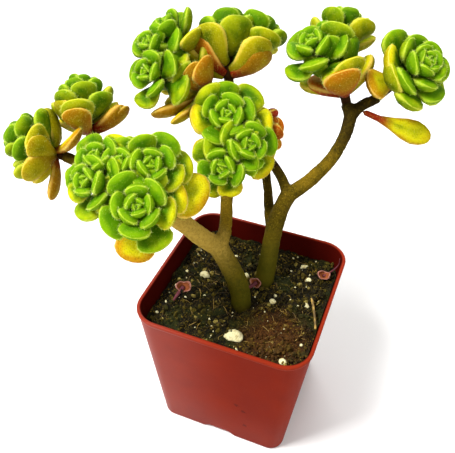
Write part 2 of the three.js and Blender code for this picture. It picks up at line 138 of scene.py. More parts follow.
# %% Lamps and surroundings
LAMPS = {
    "key": dict(place=(-0.35, -0.3, 0.75), size=0.3, power=11.0),
    "fill": dict(place=(0.6, -0.5, 0.45), size=0.6, power=2.0),
    "back": dict(place=(-0.2, 0.7, 0.6), size=0.5, power=4.0),
}
SURROUNDINGS = dict(colour=(1, 1, 1, 1), strength=0.6)


def add_lamp(name, place, size, power):
    """A square area lamp that faces the middle of the plant. Size is in metres, power in watts."""
    data = bpy.data.lights.new(name, "AREA")
    data.size = size
    data.energy = power
    lamp = bpy.data.objects.new(name, data)
    bpy.context.scene.collection.objects.link(lamp)
    lamp.location = Vector(place)
    aim = Vector(VIEW["target"]) * MM - lamp.location
    lamp.rotation_mode = "QUATERNION"
    lamp.rotation_quaternion = aim.to_track_quat("-Z", "Y")


def add_surroundings():
    """An evenly white world, and colours shown as they are worked out."""
    world = bpy.data.worlds.new("studio")
    bpy.context.scene.world = world
    world.use_nodes = True
    background = world.node_tree.nodes["Background"]
    background.inputs["Color"].default_value = SURROUNDINGS["colour"]
    background.inputs["Strength"].default_value = SURROUNDINGS["strength"]
    bpy.context.scene.view_settings.view_transform = "Standard"


for name, values in LAMPS.items():
    add_lamp(name, **values)
add_surroundings()

# %% [markdown]
# ## Numbers into meshes
# Each piece below is worked out with numpy: rings of points carried along a line, or a grid of
# points over a surface. One helper turns such points into a mesh, and turns the faces round if
# the solid comes out inside out, so that every face points outwards.

# %% Points into a mesh
def volume_of(points, faces):
    """Six times the signed volume: each face is a fan of triangles from its first corner, and
    the volume is the sum of the triple products a . (b x c) of their corners."""
    total = 0.0
    for group in faces:
        for k in range(1, group.shape[1] - 1):
            a, b, c = points[group[:, 0]], points[group[:, k]], points[group[:, k + 1]]
            total += np.einsum("ij,ij->i", a, np.cross(b, c)).sum()
    return total


def make_mesh(name, points, faces, smooth=True):
    """Points in millimetres, and groups of faces that each have the same number of corners."""
    points = np.asarray(points, float).reshape(-1, 3)
    if volume_of(points, faces) < 0:
        faces = [group[:, ::-1] for group in faces]
    mesh = bpy.data.meshes.new(name)
    mesh.vertices.add(len(points))
    mesh.vertices.foreach_set("co", (points * MM).astype(np.float32).ravel())
    corners = np.concatenate([group.ravel() for group in faces]).astype(np.int32)
    sides = np.concatenate([np.full(len(group), group.shape[1]) for group in faces])
    mesh.loops.add(len(corners))
    mesh.loops.foreach_set("vertex_index", corners)
    mesh.polygons.add(len(sides))
    mesh.polygons.foreach_set("loop_start", (np.cumsum(sides) - sides).astype(np.int32))
    mesh.polygons.foreach_set("use_smooth", np.full(len(sides), smooth))
    mesh.update(calc_edges=True)
    mesh.validate()
    return mesh


print("points in millimetres become meshes in metres, times", MM)

# %% [markdown]
# A mesh can carry numbers of its own, one for each point, such as how old a leaf is. A material
# reads them by name, so one material can dress every leaf. A finished mesh becomes a piece: an
# object at the origin that rides on the body of the model and stands for the plain solid.

# %% Marks and pieces
def mark(mesh, **values):
    """Stores one number per point under each name, for the materials to read."""
    for name, numbers in values.items():
        layer = mesh.attributes.new(name, "FLOAT", "POINT")
        layer.data.foreach_set("value", np.asarray(numbers, np.float32).ravel())


def read_points(mesh):
    """Points in millimetres and unit normals."""
    points, normals = np.empty(3 * len(mesh.vertices)), np.empty(3 * len(mesh.vertices))
    mesh.vertices.foreach_get("co", points)
    mesh.vertices.foreach_get("normal", normals)
    return points.reshape(-1, 3) / MM, normals.reshape(-1, 3)


def write_points(mesh, points):
    """Moves the mesh's points to the given places in millimetres."""
    mesh.vertices.foreach_set("co", (points * MM).astype(np.float32).ravel())
    mesh.update()


def add_piece(name, mesh, slot, material, *nodes):
    """Puts the mesh in the scene; it rides on the root and stands for the named solids."""
    piece = bpy.data.objects.new(name, mesh)
    bpy.context.scene.collection.objects.link(piece)
    mesh.materials.clear()
    mesh.materials.append(material)
    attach(piece, "root")
    if nodes:
        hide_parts(*nodes)


print("pieces ride on the root body")

# %% [markdown]
# Most shapes here are closed rings of points, one after another, with a single point at each
# end. Their faces depend only on how many rings and sides there are, so they are worked out once
# and repeated for each copy.

# %% Faces between rings
def ring_faces(rings, sides):
    """Faces between closed rings, with a pole before the first ring and one after the last."""
    ring, side = np.meshgrid(np.arange(rings - 1), np.arange(sides), indexing="ij")
    here = (ring * sides + side).ravel()
    beside = (ring * sides + (side + 1) % sides).ravel()
    quads = np.stack([here, beside, beside + sides, here + sides], 1)
    side = np.arange(sides)
    start, end = rings * sides, rings * sides + 1
    last = (rings - 1) * sides
    first_fan = np.stack([np.full(sides, start), (side + 1) % sides, side], 1)
    last_fan = np.stack([np.full(sides, end), last + side, last + (side + 1) % sides], 1)
    return [quads, np.concatenate([first_fan, last_fan])]


def repeat_faces(faces, copies, points_each):
    """The same faces for each of many copies whose points follow one another."""
    shift = (np.arange(copies) * points_each)[:, None, None]
    return [(group[None] + shift).reshape(-1, group.shape[1]) for group in faces]


def join_sets(sets):
    """Several (points, faces) sets as one."""
    points, faces, shift = [], [], 0
    for some_points, some_faces in sets:
        some_points = np.asarray(some_points, float).reshape(-1, 3)
        points.append(some_points)
        faces += [group + shift for group in some_faces]
        shift += len(some_points)
    return np.concatenate(points), faces


print("faces of a tube with 2 rings of 3 sides:", sum(len(group) for group in ring_faces(2, 3)))

# %% [markdown]
# Natural things are seldom straight or alike. Two small sums, an eased step and a mixture, shape
# most of the outlines. Draws that always come out the same vary them, so that the plant is the
# same one each time it is built.

# %% Eased steps and draws
DRAW_WAVE = (12.9898, 78.233, 43758.5453)


def ease(x):
    """Rises from 0 to 1 as x does, level at both ends: 3 x squared less 2 x cubed."""
    x = np.clip(x, 0, 1)
    return x * x * (3 - 2 * x)


def mix(low, high, share):
    """Low where share is 0, high where it is 1, and in proportion between."""
    return low + (high - low) * share


def draw(seed, number):
    """A repeatable number between -1 and 1 for each seed and number: the digits far behind the
    point of a large sine wave."""
    by_number, by_seed, height = DRAW_WAVE
    wave = np.sin(by_number * np.asarray(number, float) + by_seed * seed) * height
    return 2 * (wave - np.floor(wave)) - 1


print("three draws:", draw(1, np.arange(3)).round(2))

# %% [markdown]
# ## Shader sums as plain sums
# A material is a graph of nodes. Written out node by node it is long and hard to read, so a
# small class wraps a socket: a sum on wrapped sockets adds the Math nodes, and one method adds
# any other node.

# %% A socket that adds up
class Wire:
    """An output socket that can be used in a sum."""

    def __init__(self, tree, socket):
        self.tree, self.socket = tree, socket

    def sum(self, operation, other, swap=False):
        """One Math node on this socket and the other value, or the other way round."""
        values = (other, self) if swap else (self, other)
        return Graph(self.tree).node("ShaderNodeMath", {"operation": operation}, *values)

    def __add__(self, other):
        return self.sum("ADD", other)

    def __radd__(self, other):
        return self.sum("ADD", other)

    def __sub__(self, other):
        return self.sum("SUBTRACT", other)

    def __rsub__(self, other):
        return self.sum("SUBTRACT", other, swap=True)

    def __mul__(self, other):
        return self.sum("MULTIPLY", other)

    def __rmul__(self, other):
        return self.sum("MULTIPLY", other)

    def step(self, low, high):
        """0 below low, 1 above high, and a smooth rise between."""
        return Graph(self.tree).node("ShaderNodeMapRange", {"interpolation_type": "SMOOTHSTEP"},
                                     self, low, high, 0.0, 1.0)


print("wires add, subtract, multiply and step")

# %% [markdown]
# The nodes themselves come from one method, which takes the kind of node, its settings and what
# goes into its sockets. The patterns that every finish here is made of are short calls of it:
# noise, cells, a mixture of two colours, and relief.

# %% Nodes by kind
SKIPPED_INPUTS = 5


class Graph:
    """Adds nodes to a material."""

    def __init__(self, tree):
        self.tree = tree

    def node(self, kind, settings=None, *values, output=0, **named):
        """One node: its settings first, then its inputs by order or by name."""
        made = self.tree.nodes.new(kind)
        for key, value in (settings or {}).items():
            setattr(made, key, value)
        pairs = list(zip(made.inputs, values))
        pairs += [(made.inputs[key.replace("_", " ")], value) for key, value in named.items()]
        for socket, value in pairs:
            if isinstance(value, Wire):
                self.tree.links.new(value.socket, socket)
            elif value is not None:
                socket.default_value = value
        return Wire(self.tree, made.outputs[output])

    def place(self):
        """The point on the object, in metres."""
        return self.node("ShaderNodeTexCoord", output=3)

    def mark(self, name):
        """A number stored on the mesh."""
        return self.node("ShaderNodeAttribute", {"attribute_name": name}, output=2)

    def noise(self, size_mm, detail=3.0, roughness=0.55, distortion=0.0):
        """Soft noise whose lumps are about size_mm across."""
        return self.node("ShaderNodeTexNoise", None, Vector=self.place(),
                         Scale=1 / (size_mm * MM), Detail=detail, Roughness=roughness,
                         Distortion=distortion)

    def cells(self, size_mm):
        """Distance to the nearest of points strewn about size_mm apart."""
        return self.node("ShaderNodeTexVoronoi", {"feature": "F1"}, Vector=self.place(),
                         Scale=1 / (size_mm * MM))

    def split(self):
        """The three coordinates of the point on the object, in millimetres."""
        place = self.place()
        return [self.node("ShaderNodeSeparateXYZ", None, place, output=n) * (1 / MM)
                for n in range(3)]

    def distance(self, spot):
        """How far the point on the object is from the spot, in millimetres."""
        return self.node("ShaderNodeVectorMath", {"operation": "DISTANCE"}, self.place(), spot,
                         output=1) * (1 / MM)

    def blend(self, share, low, high, mode="MIX"):
        """A colour between two colours, each a wire or three numbers. The Mix node has inputs
        for numbers and vectors between its share and its colours, and they are skipped."""
        low, high = [c if isinstance(c, Wire) else (*c, 1.0) for c in (low, high)]
        return self.node("ShaderNodeMix", {"data_type": "RGBA", "blend_type": mode}, share,
                         *[None] * SKIPPED_INPUTS, low, high, output=2)

    def bump(self, height, distance_mm, strength=1.0):
        """Low relief of the given depth."""
        return self.node("ShaderNodeBump", None, Height=height, Distance=distance_mm * MM,
                         Strength=strength)


print("noise, cells, blend and bump ready")

# %% [markdown]
# A finish starts from Blender's all-round surface. Values that are the same all over are set at
# once, and wires are joined for those that change. Colours are written as they look on a screen,
# and turned into the amounts of light that the renderer adds up.

# %% Materials and colours
def new_material(name, **constants):
    """A material whose surface has the given constant values, and its graph."""
    material = bpy.data.materials.new(name)
    material.use_nodes = True
    surface = material.node_tree.nodes["Principled BSDF"]
    for key, value in constants.items():
        surface.inputs[key.replace("_", " ")].default_value = value
    return material, Graph(material.node_tree), surface


def feed(surface, **wires):
    """Joins wires to the surface's sockets."""
    for key, wire in wires.items():
        surface.id_data.links.new(wire.socket, surface.inputs[key.replace("_", " ")])


def srgb(red, green, blue):
    """A colour seen on a screen, 0 to 255, as light: the standard curve of screens, which is
    straight near black and a power of 2.4 above."""
    seen = np.array([red, green, blue]) / 255
    light = np.where(seen <= 0.04045, seen / 12.92, ((seen + 0.055) / 1.055) ** 2.4)
    return tuple(float(v) for v in light)


def palette(**seen):
    """Named colours, each given as it is seen on a screen."""
    return {name: srgb(*colour) for name, colour in seen.items()}


print("middle grey of a screen as light:", round(srgb(128, 128, 128)[0], 3))

# %% [markdown]
# ## The pot
# The pot is one thin moulding of red-brown plastic, square with rounded corners, wider at the
# top, with a small bead round the rim and a raised notch in the middle of each foot edge.
# It could be a box with bevels, but one profile carried round a rounded square gives the true
# taper, the rim and the soft edges at once.

# %% Pot outline and notches
POT = dict(top=57.0, foot=46.1, height=57.0, top_corner=8.7, foot_corner=5.2, wall=0.9,
           floor=1.2, rim_height=1.6, rim_proud=0.35, foot_edge=0.9, fillet=1.2, flat_inset=1.3,
           least_corner=0.5)
NOTCH = dict(width=9.5, height=1.4, length=11.0, skin=1.1, soft=1.0, fade_out=3.5, fade_in=2.4)


def rounded_square(half, corner, per_corner=10, per_side=14):
    """Points round a square whose corners are arcs: each side is a straight run and a quarter
    turn, and the other three sides are the first one turned."""
    flat = half - corner
    angles = np.linspace(0, np.pi / 2, per_corner)
    arc = np.stack([flat + corner * np.cos(angles), flat + corner * np.sin(angles)], 1)
    run = np.linspace(-1, 1, per_side + 2)[1:-1, None]
    side = np.concatenate([np.stack([np.full(per_side, half), flat * run[:, 0]], 1), arc])
    turns = [np.array([[math.cos(t), -math.sin(t)], [math.sin(t), math.cos(t)]])
             for t in (0, math.pi / 2, math.pi, 1.5 * math.pi)]
    return np.concatenate([side @ turn.T for turn in turns])


def pot_half(z):
    """Half the pot's width at a height."""
    return mix(POT["foot"], POT["top"], z / POT["height"]) / 2


def pot_corner(z):
    """The radius of the pot's corners at a height."""
    return mix(POT["foot_corner"], POT["top_corner"], z / POT["height"])


def notch_lift(x, y, skin=0.0):
    """How far the underside is raised: a smooth-sided channel from each side's middle inwards.
    It is 1 within half the width of the middle, and 1 outside the reach, eased at both."""
    width, reach = NOTCH["width"] / 2 + skin, POT["foot"] / 2 - NOTCH["length"] - skin
    soft = NOTCH["soft"]

    def channel(side, along):
        within = 1 - ease((np.abs(side) - width + soft / 2) / soft)
        return within * ease((np.abs(along) - reach + soft / 2) / soft)

    return NOTCH["height"] * np.maximum(channel(y, x), channel(x, y))


print("pot is", POT["top"], "mm wide at the rim and", POT["foot"], "mm at the foot")

# %% [markdown]
# The profile is a list of heights, each with how far the wall is set in there from the widest
# outline. Read in order it climbs the outside, turns over the rim and goes down the inside. Two
# straight lines would do for the wall, but a real moulding has no sharp edge, so the foot, the
# bead and the floor's corner each get a few points more.

# %% Pot profile
def pot_profile():
    """Two lists of (height, set-in) pairs: up the outside and over the rim, and down the inside.
    The first starts with a quarter circle round the foot's edge, the second ends with one where
    the wall meets the floor: sin t and cos t of the radius, taken off it."""
    height, wall, proud = POT["height"], POT["wall"], POT["rim_proud"]
    edge, fillet = POT["foot_edge"], POT["fillet"]
    rim = height - POT["rim_height"]
    turn = np.linspace(0, 1, 7)[1:] * math.pi / 2
    foot = [(edge - edge * math.cos(t), proud + edge - edge * math.sin(t)) for t in turn]
    outside = [(z, proud) for z in np.linspace(1.6, rim - 0.5, 14)]
    bead = [(rim - 0.15, proud - 0.02), (rim + 0.1, proud * 0.45), (rim + 0.35, proud * 0.1),
            (rim + 0.7, 0.0), (height - 0.45, 0.0), (height - 0.18, 0.07), (height - 0.04, 0.2),
            (height, 0.42), (height, wall + proud - 0.42), (height - 0.06, wall + proud - 0.16),
            (height - 0.22, wall + proud - 0.03)]
    inside = [(z, wall + proud) for z in np.linspace(height - 0.8, POT["floor"] + 2 * fillet, 12)]
    corner = [(POT["floor"] + fillet - fillet * math.sin(t),
               wall + proud + fillet - fillet * math.cos(t)) for t in turn]
    return foot + outside + bead, inside + corner


print("heights in the profile, outside and inside:", [len(part) for part in pot_profile()])

# %% [markdown]
# Each height of the profile becomes a ring. The underside and the floor are flat, so their rings
# only shrink towards the middle. A Boolean could sink the notches, but here they lift the rings
# near the floor, more softly outside than inside, which leaves no sharp cut.

# %% Pot moulding
UNDERSIDE = (0.12, 0.3, 0.5, 0.68, 0.8, 0.9, 0.96)
FLOOR_RINGS = (0.95, 0.86, 0.74, 0.6, 0.45, 0.28, 0.12)
CORNER_UNDER = 0.9
CORNER_FLOOR = 0.8


def flat_rings(half, corner, shares, z):
    """Rounded squares at one height, each the given share of the full one."""
    flats = [rounded_square(half * share, corner * share) for share in shares]
    return [np.column_stack([flat, np.full(len(flat), z)]) for flat in flats]


def pot_surface():
    """Rings from the middle of the underside, up the outside, over the rim, down the inside and
    in to the middle of the floor."""
    outer, inner = pot_profile()
    rings = flat_rings(pot_half(0) - POT["flat_inset"], pot_corner(0) * CORNER_UNDER, UNDERSIDE, 0)
    for z, inset in outer + inner:
        corner = max(pot_corner(z) - inset, POT["least_corner"])
        flat = rounded_square(pot_half(z) - inset, corner)
        rings.append(np.column_stack([flat, np.full(len(flat), z)]))
    floor_half = pot_half(POT["floor"]) - POT["rim_proud"] - POT["wall"] - POT["flat_inset"]
    rings += flat_rings(floor_half, pot_corner(0) * CORNER_FLOOR, FLOOR_RINGS, POT["floor"])
    grid = np.array(rings)
    is_inside = (np.arange(len(grid)) >= len(UNDERSIDE) + len(outer))[:, None]
    skin = np.where(is_inside, NOTCH["skin"], 0.0)
    near_floor = np.where(is_inside, 1 - ease((grid[..., 2] - POT["floor"]) / NOTCH["fade_in"]),
                          1 - ease(grid[..., 2] / NOTCH["fade_out"]))
    grid[..., 2] += notch_lift(grid[..., 0], grid[..., 1], skin) * near_floor
    middle = np.array([[0, 0, 0], [0, 0, POT["floor"]]], float)
    points = np.concatenate([grid.reshape(-1, 3), middle])
    return points, ring_faces(len(grid), grid.shape[1])


moulding = make_mesh("pot_moulding", *pot_surface())
print("pot faces before drilling:", len(moulding.polygons))

# %% [markdown]
# Water leaves by four holes at the inner ends of the notches. Holes don't fit a profile that is
# carried round, so they are cut out with a Boolean, by four short rods.

# %% Drain holes
DRAIN = dict(radius=2.0, inset=13.5, sides=24, low=-2.0, high=8.0)
INSIDE = dict(least=0.2, soft=0.5, lowest=2)


def drill_rods():
    """Four upright rods: circles at two heights, a quarter turn apart round the pot's middle."""
    angles = np.linspace(0, 2 * np.pi, DRAIN["sides"] + 1)[:-1]
    rods = []
    for turn in np.arange(4) * np.pi / 2:
        centre = DRAIN["inset"] * np.array([math.cos(turn), math.sin(turn)])
        rim = centre + DRAIN["radius"] * np.stack([np.cos(angles), np.sin(angles)], 1)
        rings = [np.column_stack([rim, np.full(len(rim), z)]) for z in (DRAIN["low"], DRAIN["high"])]
        ends = [[*centre, DRAIN["low"]], [*centre, DRAIN["high"]]]
        rods.append((np.concatenate([*rings, ends]), ring_faces(2, DRAIN["sides"])))
    return join_sets(rods)


def drilled(mesh, name):
    """The mesh with a round drain hole cut at the inner end of each notch."""
    body = bpy.data.objects.new(name + "_body", mesh)
    bpy.context.scene.collection.objects.link(body)
    drill = bpy.data.objects.new(name + "_drill", make_mesh(name + "_drill", *drill_rods()))
    bpy.context.scene.collection.objects.link(drill)
    cutter = body.modifiers.new("drain", "BOOLEAN")
    cutter.object, cutter.operation, cutter.solver = drill, "DIFFERENCE", "EXACT"
    graph = bpy.context.evaluated_depsgraph_get()
    cut = bpy.data.meshes.new_from_object(body.evaluated_get(graph))
    for helper in (body, drill):
        bpy.data.objects.remove(helper)
    cut.polygons.foreach_set("use_smooth", np.ones(len(cut.polygons), bool))
    return cut


def faces_inwards(mesh):
    """1 on the pot's inner wall and 0 outside: how far each normal points to the middle, eased,
    above the lowest part of the wall."""
    points, normals = read_points(mesh)
    inward = -(points[:, :2] * normals[:, :2]).sum(1) / np.linalg.norm(points[:, :2], axis=1)
    return ease((inward - INSIDE["least"]) / INSIDE["soft"]) * (points[:, 2] > INSIDE["lowest"])


pot_mesh = drilled(moulding, "pot")
mark(pot_mesh, inside=faces_inwards(pot_mesh))
print("pot faces:", len(pot_mesh.polygons))

# %% [markdown]
# The plastic is nearly even in colour, with a painted highlight along the rim, painted shade over
# the middle and right of the pot, and much darker inside, a painted shade where little light falls.
# A picture could give the marks of use, but patterns on the object's own coordinates stay sharp
# and need no unwrapping. Handling has left a soft sheen towards one side and at the foot, and
# there are faint scuffs and three small dark nicks low on the front.

# %% Pot finish
NICKS = ((0.0095, -0.0248, 0.0215), (0.01, -0.0241, 0.012), (0.007, -0.0253, 0.0245))
# Heights of a painted highlight on the rim.
PAINTED_RIM_HIGHLIGHT = (POT["height"] - 1.8, POT["height"] - 1.2)
# Of these colours, deep and inside are painted shade, and rim is a painted highlight.
PLASTIC = palette(dark=(110, 27, 10), light=(122, 33, 13), deep=(98, 21, 7), rim=(146, 48, 26),
                  scuff=(84, 20, 10), dust=(150, 76, 50), nick=(66, 14, 8), inside=(66, 10, 5))


def pot_material():
    """Red-brown, by two sizes of cloud. Each blend after that lays one more colour over it: painted
    shade over the middle and right, a painted highlight on the rim, scuffs, dust, nicks and painted
    shade inside. The polish is a clear coat that fades out from the left and from the foot."""
    material, graph, surface = new_material("terracotta_plastic", Specular_IOR_Level=0.01,
                                            Coat_Roughness=0.4)
    x, _, height = graph.split()
    inside = graph.mark("inside")
    cloud = graph.noise(14, 4, 0.6)
    grit = graph.noise(0.6, 2, 0.6)
    scuff = graph.noise(2.2, 5, 0.7).step(0.66, 0.74) * graph.noise(9, 2).step(0.5, 0.6)
    body = graph.blend(cloud.step(0.25, 0.75), PLASTIC["dark"], PLASTIC["light"])
    # Painted shade: the middle and right of the pot are darker, more so above the foot.
    deep = x.step(-10, 12) * (1 - x.step(17, 25)) * (0.4 + height.step(6, 30) * 0.6)
    body = graph.blend(deep * 0.6, body, PLASTIC["deep"])
    # Painted highlight: a lighter band round the rim.
    body = graph.blend(height.step(*PAINTED_RIM_HIGHLIGHT) * 0.4, body, PLASTIC["rim"])
    body = graph.blend(scuff * 0.5, body, PLASTIC["scuff"])
    body = graph.blend(grit.step(0.62, 0.75) * 0.12, body, PLASTIC["dust"])
    for nick in NICKS:
        ragged = graph.distance(nick) + (grit - 0.5) * 3
        body = graph.blend((1 - ragged.step(0.5, 1.1)) * 0.75, body, PLASTIC["nick"])
    # Painted shade: the inner wall is much darker.
    body = graph.blend(inside, body, PLASTIC["inside"])
    polish = (1 - x.step(-26, 6)) * 0.28 + (1 - height.step(4, 26)) * 0.08
    feed(surface, Base_Color=body, Roughness=0.34 + cloud * 0.14 + scuff * 0.2,
         Coat_Weight=polish * (1 - inside),
         Normal=graph.bump(graph.noise(5, 3) + grit * 0.05, 0.1, 0.6))
    return material


add_piece("pot_moulding", pot_mesh, "pot", pot_material(), "pot")
print("pot dressed, with", len(NICKS), "nicks")

# %% [markdown]
# ## Soil
# The mix is dark, damp peat with crumbs, fine gold fibres and white perlite. A flat disc with a
# bumpy material would look painted, so the surface is a real relief on a grid, and loose crumbs,
# grains and fibres lie on it as small pieces of their own.

# %% Height of the soil
SOIL = dict(top=49.2, lump=0.55, gap=0.3, clods=0.8)
CLODS = (dict(cell=3.1, depth=0.45, seed=3), dict(cell=1.5, depth=0.42, seed=7),
         dict(cell=0.75, depth=0.3, seed=11))
LATTICE_STEPS = (1.7, 57.3)
SOIL_SHIFT = 40


def lattice_noise(x, y, cell, seed):
    """Smooth noise: a random height at each point of a square lattice, eased in between."""
    u, v = np.asarray(x) / cell, np.asarray(y) / cell
    column, row = np.floor(u), np.floor(v)
    a, b = ease(u - column), ease(v - row)

    def corner(i, j):
        return draw(seed, (column + i) * LATTICE_STEPS[0] + (row + j) * LATTICE_STEPS[1])

    low = mix(corner(0, 0), corner(1, 0), a)
    high = mix(corner(0, 1), corner(1, 1), a)
    return mix(low, high, b)


def soil_lumps(x, y):
    """The large lumps, as in the solid: the sum of slow waves."""
    return SOIL["top"] + SOIL["lump"] * (np.sin(0.45 * x + 1) * np.cos(0.38 * y)
                                         + 0.6 * np.sin(0.9 * x - 0.7 * y))


def soil_height(x, y):
    """Lumps plus three sizes of clod. Each is noise folded at 0, so that it has ridges."""
    clods = 0.0
    for one in CLODS:
        noise = lattice_noise(x + SOIL_SHIFT, y + SOIL_SHIFT, one["cell"], one["seed"])
        clods = clods + one["depth"] * (0.5 - np.abs(noise)) * 2
    return soil_lumps(x, y) + clods * SOIL["clods"]


print("soil stands at", soil_height(0.0, 0.0).round(1), "mm in the middle of the pot")

# %% [markdown]
# The surface is a square grid, and the pot is a rounded square. Cutting the grid would leave a
# ragged edge. Here each point of it keeps its direction from the middle and moves out or in, so
# that the grid's own edge comes to lie along the wall.

# %% Soil surface
GRID = 170


def wall_distance(angle, half, corner):
    """How far a rounded square reaches in each direction: to the straight side, or to the
    corner's arc, where the direction leaves the straight part."""
    c, s = np.abs(np.cos(angle)), np.abs(np.sin(angle))
    inner = half - corner
    on_side = half / np.maximum(c, s)
    root = np.maximum(inner**2 * (c + s) ** 2 - 2 * inner**2 + corner**2, 0)
    on_arc = inner * (c + s) + np.sqrt(root)
    return np.where(np.minimum(c, s) * on_side > inner, on_arc, on_side)


def soil_surface():
    """A square grid pressed into the pot's rounded square, closed by a wall and a flat base."""
    margin = POT["rim_proud"] + POT["wall"] + SOIL["gap"]
    line = np.linspace(-1, 1, GRID)
    u, v = np.meshgrid(line, line, indexing="ij")
    angle = np.arctan2(v, u)
    half = pot_half(SOIL["top"]) - margin
    radius = wall_distance(angle, half, pot_corner(SOIL["top"]) - margin)
    radius = radius * np.maximum(np.abs(u), np.abs(v))
    x, y = radius * np.cos(angle), radius * np.sin(angle)
    top = np.stack([x, y, soil_height(x, y)], -1)
    index = np.arange(GRID * GRID).reshape(GRID, GRID)
    quads = np.stack([index[:-1, :-1], index[1:, :-1], index[1:, 1:], index[:-1, 1:]], -1)
    edge = np.concatenate([index[:-1, 0], index[-1, :-1], index[:0:-1, -1], index[0, :0:-1]])
    rim = top.reshape(-1, 3)[edge]
    low = POT["floor"] + SOIL["gap"]
    scale = (pot_half(low) - margin) / half
    base = np.column_stack([rim[:, 0] * scale, rim[:, 1] * scale, np.full(len(rim), low)])
    start = GRID * GRID
    below = start + np.arange(len(edge))
    wall = np.stack([edge, np.roll(edge, -1), np.roll(below, -1), below], 1)
    fan = np.stack([np.roll(below, -1), np.full(len(edge), start + len(edge)), below], 1)
    points = np.concatenate([top.reshape(-1, 3), base, [[0, 0, low]]])
    return points, [quads.reshape(-1, 4)[:, ::-1], wall[:, ::-1], fan[:, ::-1]]


soil_mesh = make_mesh("potting_mix", *soil_surface())
print("soil faces:", len(soil_mesh.polygons))

# %% [markdown]
# Loose crumbs and fine perlite are strewn over the relief. Particles could do it, but a piece
# that is kept has to be a plain mesh. So all of them are made from one pebble of twenty faces,
# and each copy is turned its own way.

# %% One pebble and many turns
def pebble():
    """A ball of twenty triangles: the points and faces of an icosahedron."""
    gold = (1 + math.sqrt(5)) / 2
    points = np.array([(-1, gold, 0), (1, gold, 0), (-1, -gold, 0), (1, -gold, 0),
                       (0, -1, gold), (0, 1, gold), (0, -1, -gold), (0, 1, -gold),
                       (gold, 0, -1), (gold, 0, 1), (-gold, 0, -1), (-gold, 0, 1)], float)
    faces = np.array([(0, 11, 5), (0, 5, 1), (0, 1, 7), (0, 7, 10), (0, 10, 11), (1, 5, 9),
                      (5, 11, 4), (11, 10, 2), (10, 7, 6), (7, 1, 8), (3, 9, 4), (3, 4, 2),
                      (3, 2, 6), (3, 6, 8), (3, 8, 9), (4, 9, 5), (2, 4, 11), (6, 2, 10),
                      (8, 6, 7), (9, 8, 1)])
    return points / np.linalg.norm(points[0]), faces


def random_turns(count, rng):
    """One rotation matrix each, from unit quaternions, so that no direction is favoured."""
    q = rng.normal(size=(count, 4))
    q /= np.linalg.norm(q, axis=1)[:, None]
    w, x, y, z = q.T
    return np.stack([1 - 2 * (y * y + z * z), 2 * (x * y - z * w), 2 * (x * z + y * w),
                     2 * (x * y + z * w), 1 - 2 * (x * x + z * z), 2 * (y * z - x * w),
                     2 * (x * z - y * w), 2 * (y * z + x * w), 1 - 2 * (x * x + y * y)],
                    1).reshape(-1, 3, 3)


print("faces of a pebble:", len(pebble()[1]))

# %% [markdown]
# Seeded draws set how large each pebble is, how it is stretched and where it lies. Thousands are
# worked out at once as one array, so each kind is a single mesh. Copies as objects of their own
# would be slow to draw. Most crumbs in real peat are tiny, so the draw of the size is cubed.

# %% Strewn crumbs and grains
STEM_FEET = ((1.0, -4.0), (3.7, 8.3))
STREW = dict(wall=2.6, stem=3.4, power=3, stretch=(0.5, 1.25), rough=(0.78, 1.18))
CRUMBS = dict(count=3600, small=0.16, large=1.05, seed=21, sink=0.15)
GRAINS = dict(count=130, small=0.16, large=0.75, seed=22, sink=0.05)


def strew(count, small, large, seed, sink):
    """Pebbles of seeded sizes on the soil, most of them small, none inside a stem. Also returns
    one random shade for each point, the same over a whole pebble."""
    rng = np.random.default_rng(seed)
    reach = pot_half(SOIL["top"]) - STREW["wall"]
    spots = rng.uniform(-reach, reach, (4 * count, 2))
    for foot in STEM_FEET:
        spots = spots[np.hypot(*(spots - foot).T) > STREW["stem"]]
    spots = spots[:count]
    size = small + (large - small) * rng.random(count) ** STREW["power"]
    points, faces = pebble()
    corners = len(points)
    stretch = rng.uniform(*STREW["stretch"], (count, 1, 3))
    rough = rng.uniform(*STREW["rough"], (count, corners, 1))
    cloud = points[None] * rough * stretch * size[:, None, None]
    cloud = np.einsum("nij,nkj->nki", random_turns(count, rng), cloud)
    height = soil_height(*spots.T) + size * (0.5 - sink)
    cloud += np.column_stack([spots, height])[:, None]
    return cloud, repeat_faces([faces], count, corners), np.repeat(rng.random(count), corners)


crumbs, crumb_faces, shade = strew(**CRUMBS)
crumb_mesh = make_mesh("crumbs", crumbs, crumb_faces, smooth=False)
mark(crumb_mesh, shade=shade)
grain_mesh = make_mesh("fine_perlite", *strew(**GRAINS)[:2])
print("crumb and grain faces:", len(crumb_mesh.polygons), len(grain_mesh.polygons))

# %% [markdown]
# Fine dry roots and fibres lie on the mix. Each is a thread bent in an arc, which arches up a
# little between its ends. Three sides are enough for a thread a tenth of a millimetre thick.

# %% Fibres
FIBRES = dict(count=120, seed=23, wall=4.5, bend=1.6, long=(1.5, 6.0), arch=0.9, above=0.1,
              thin=(0.05, 0.11), rings=7, sides=3)


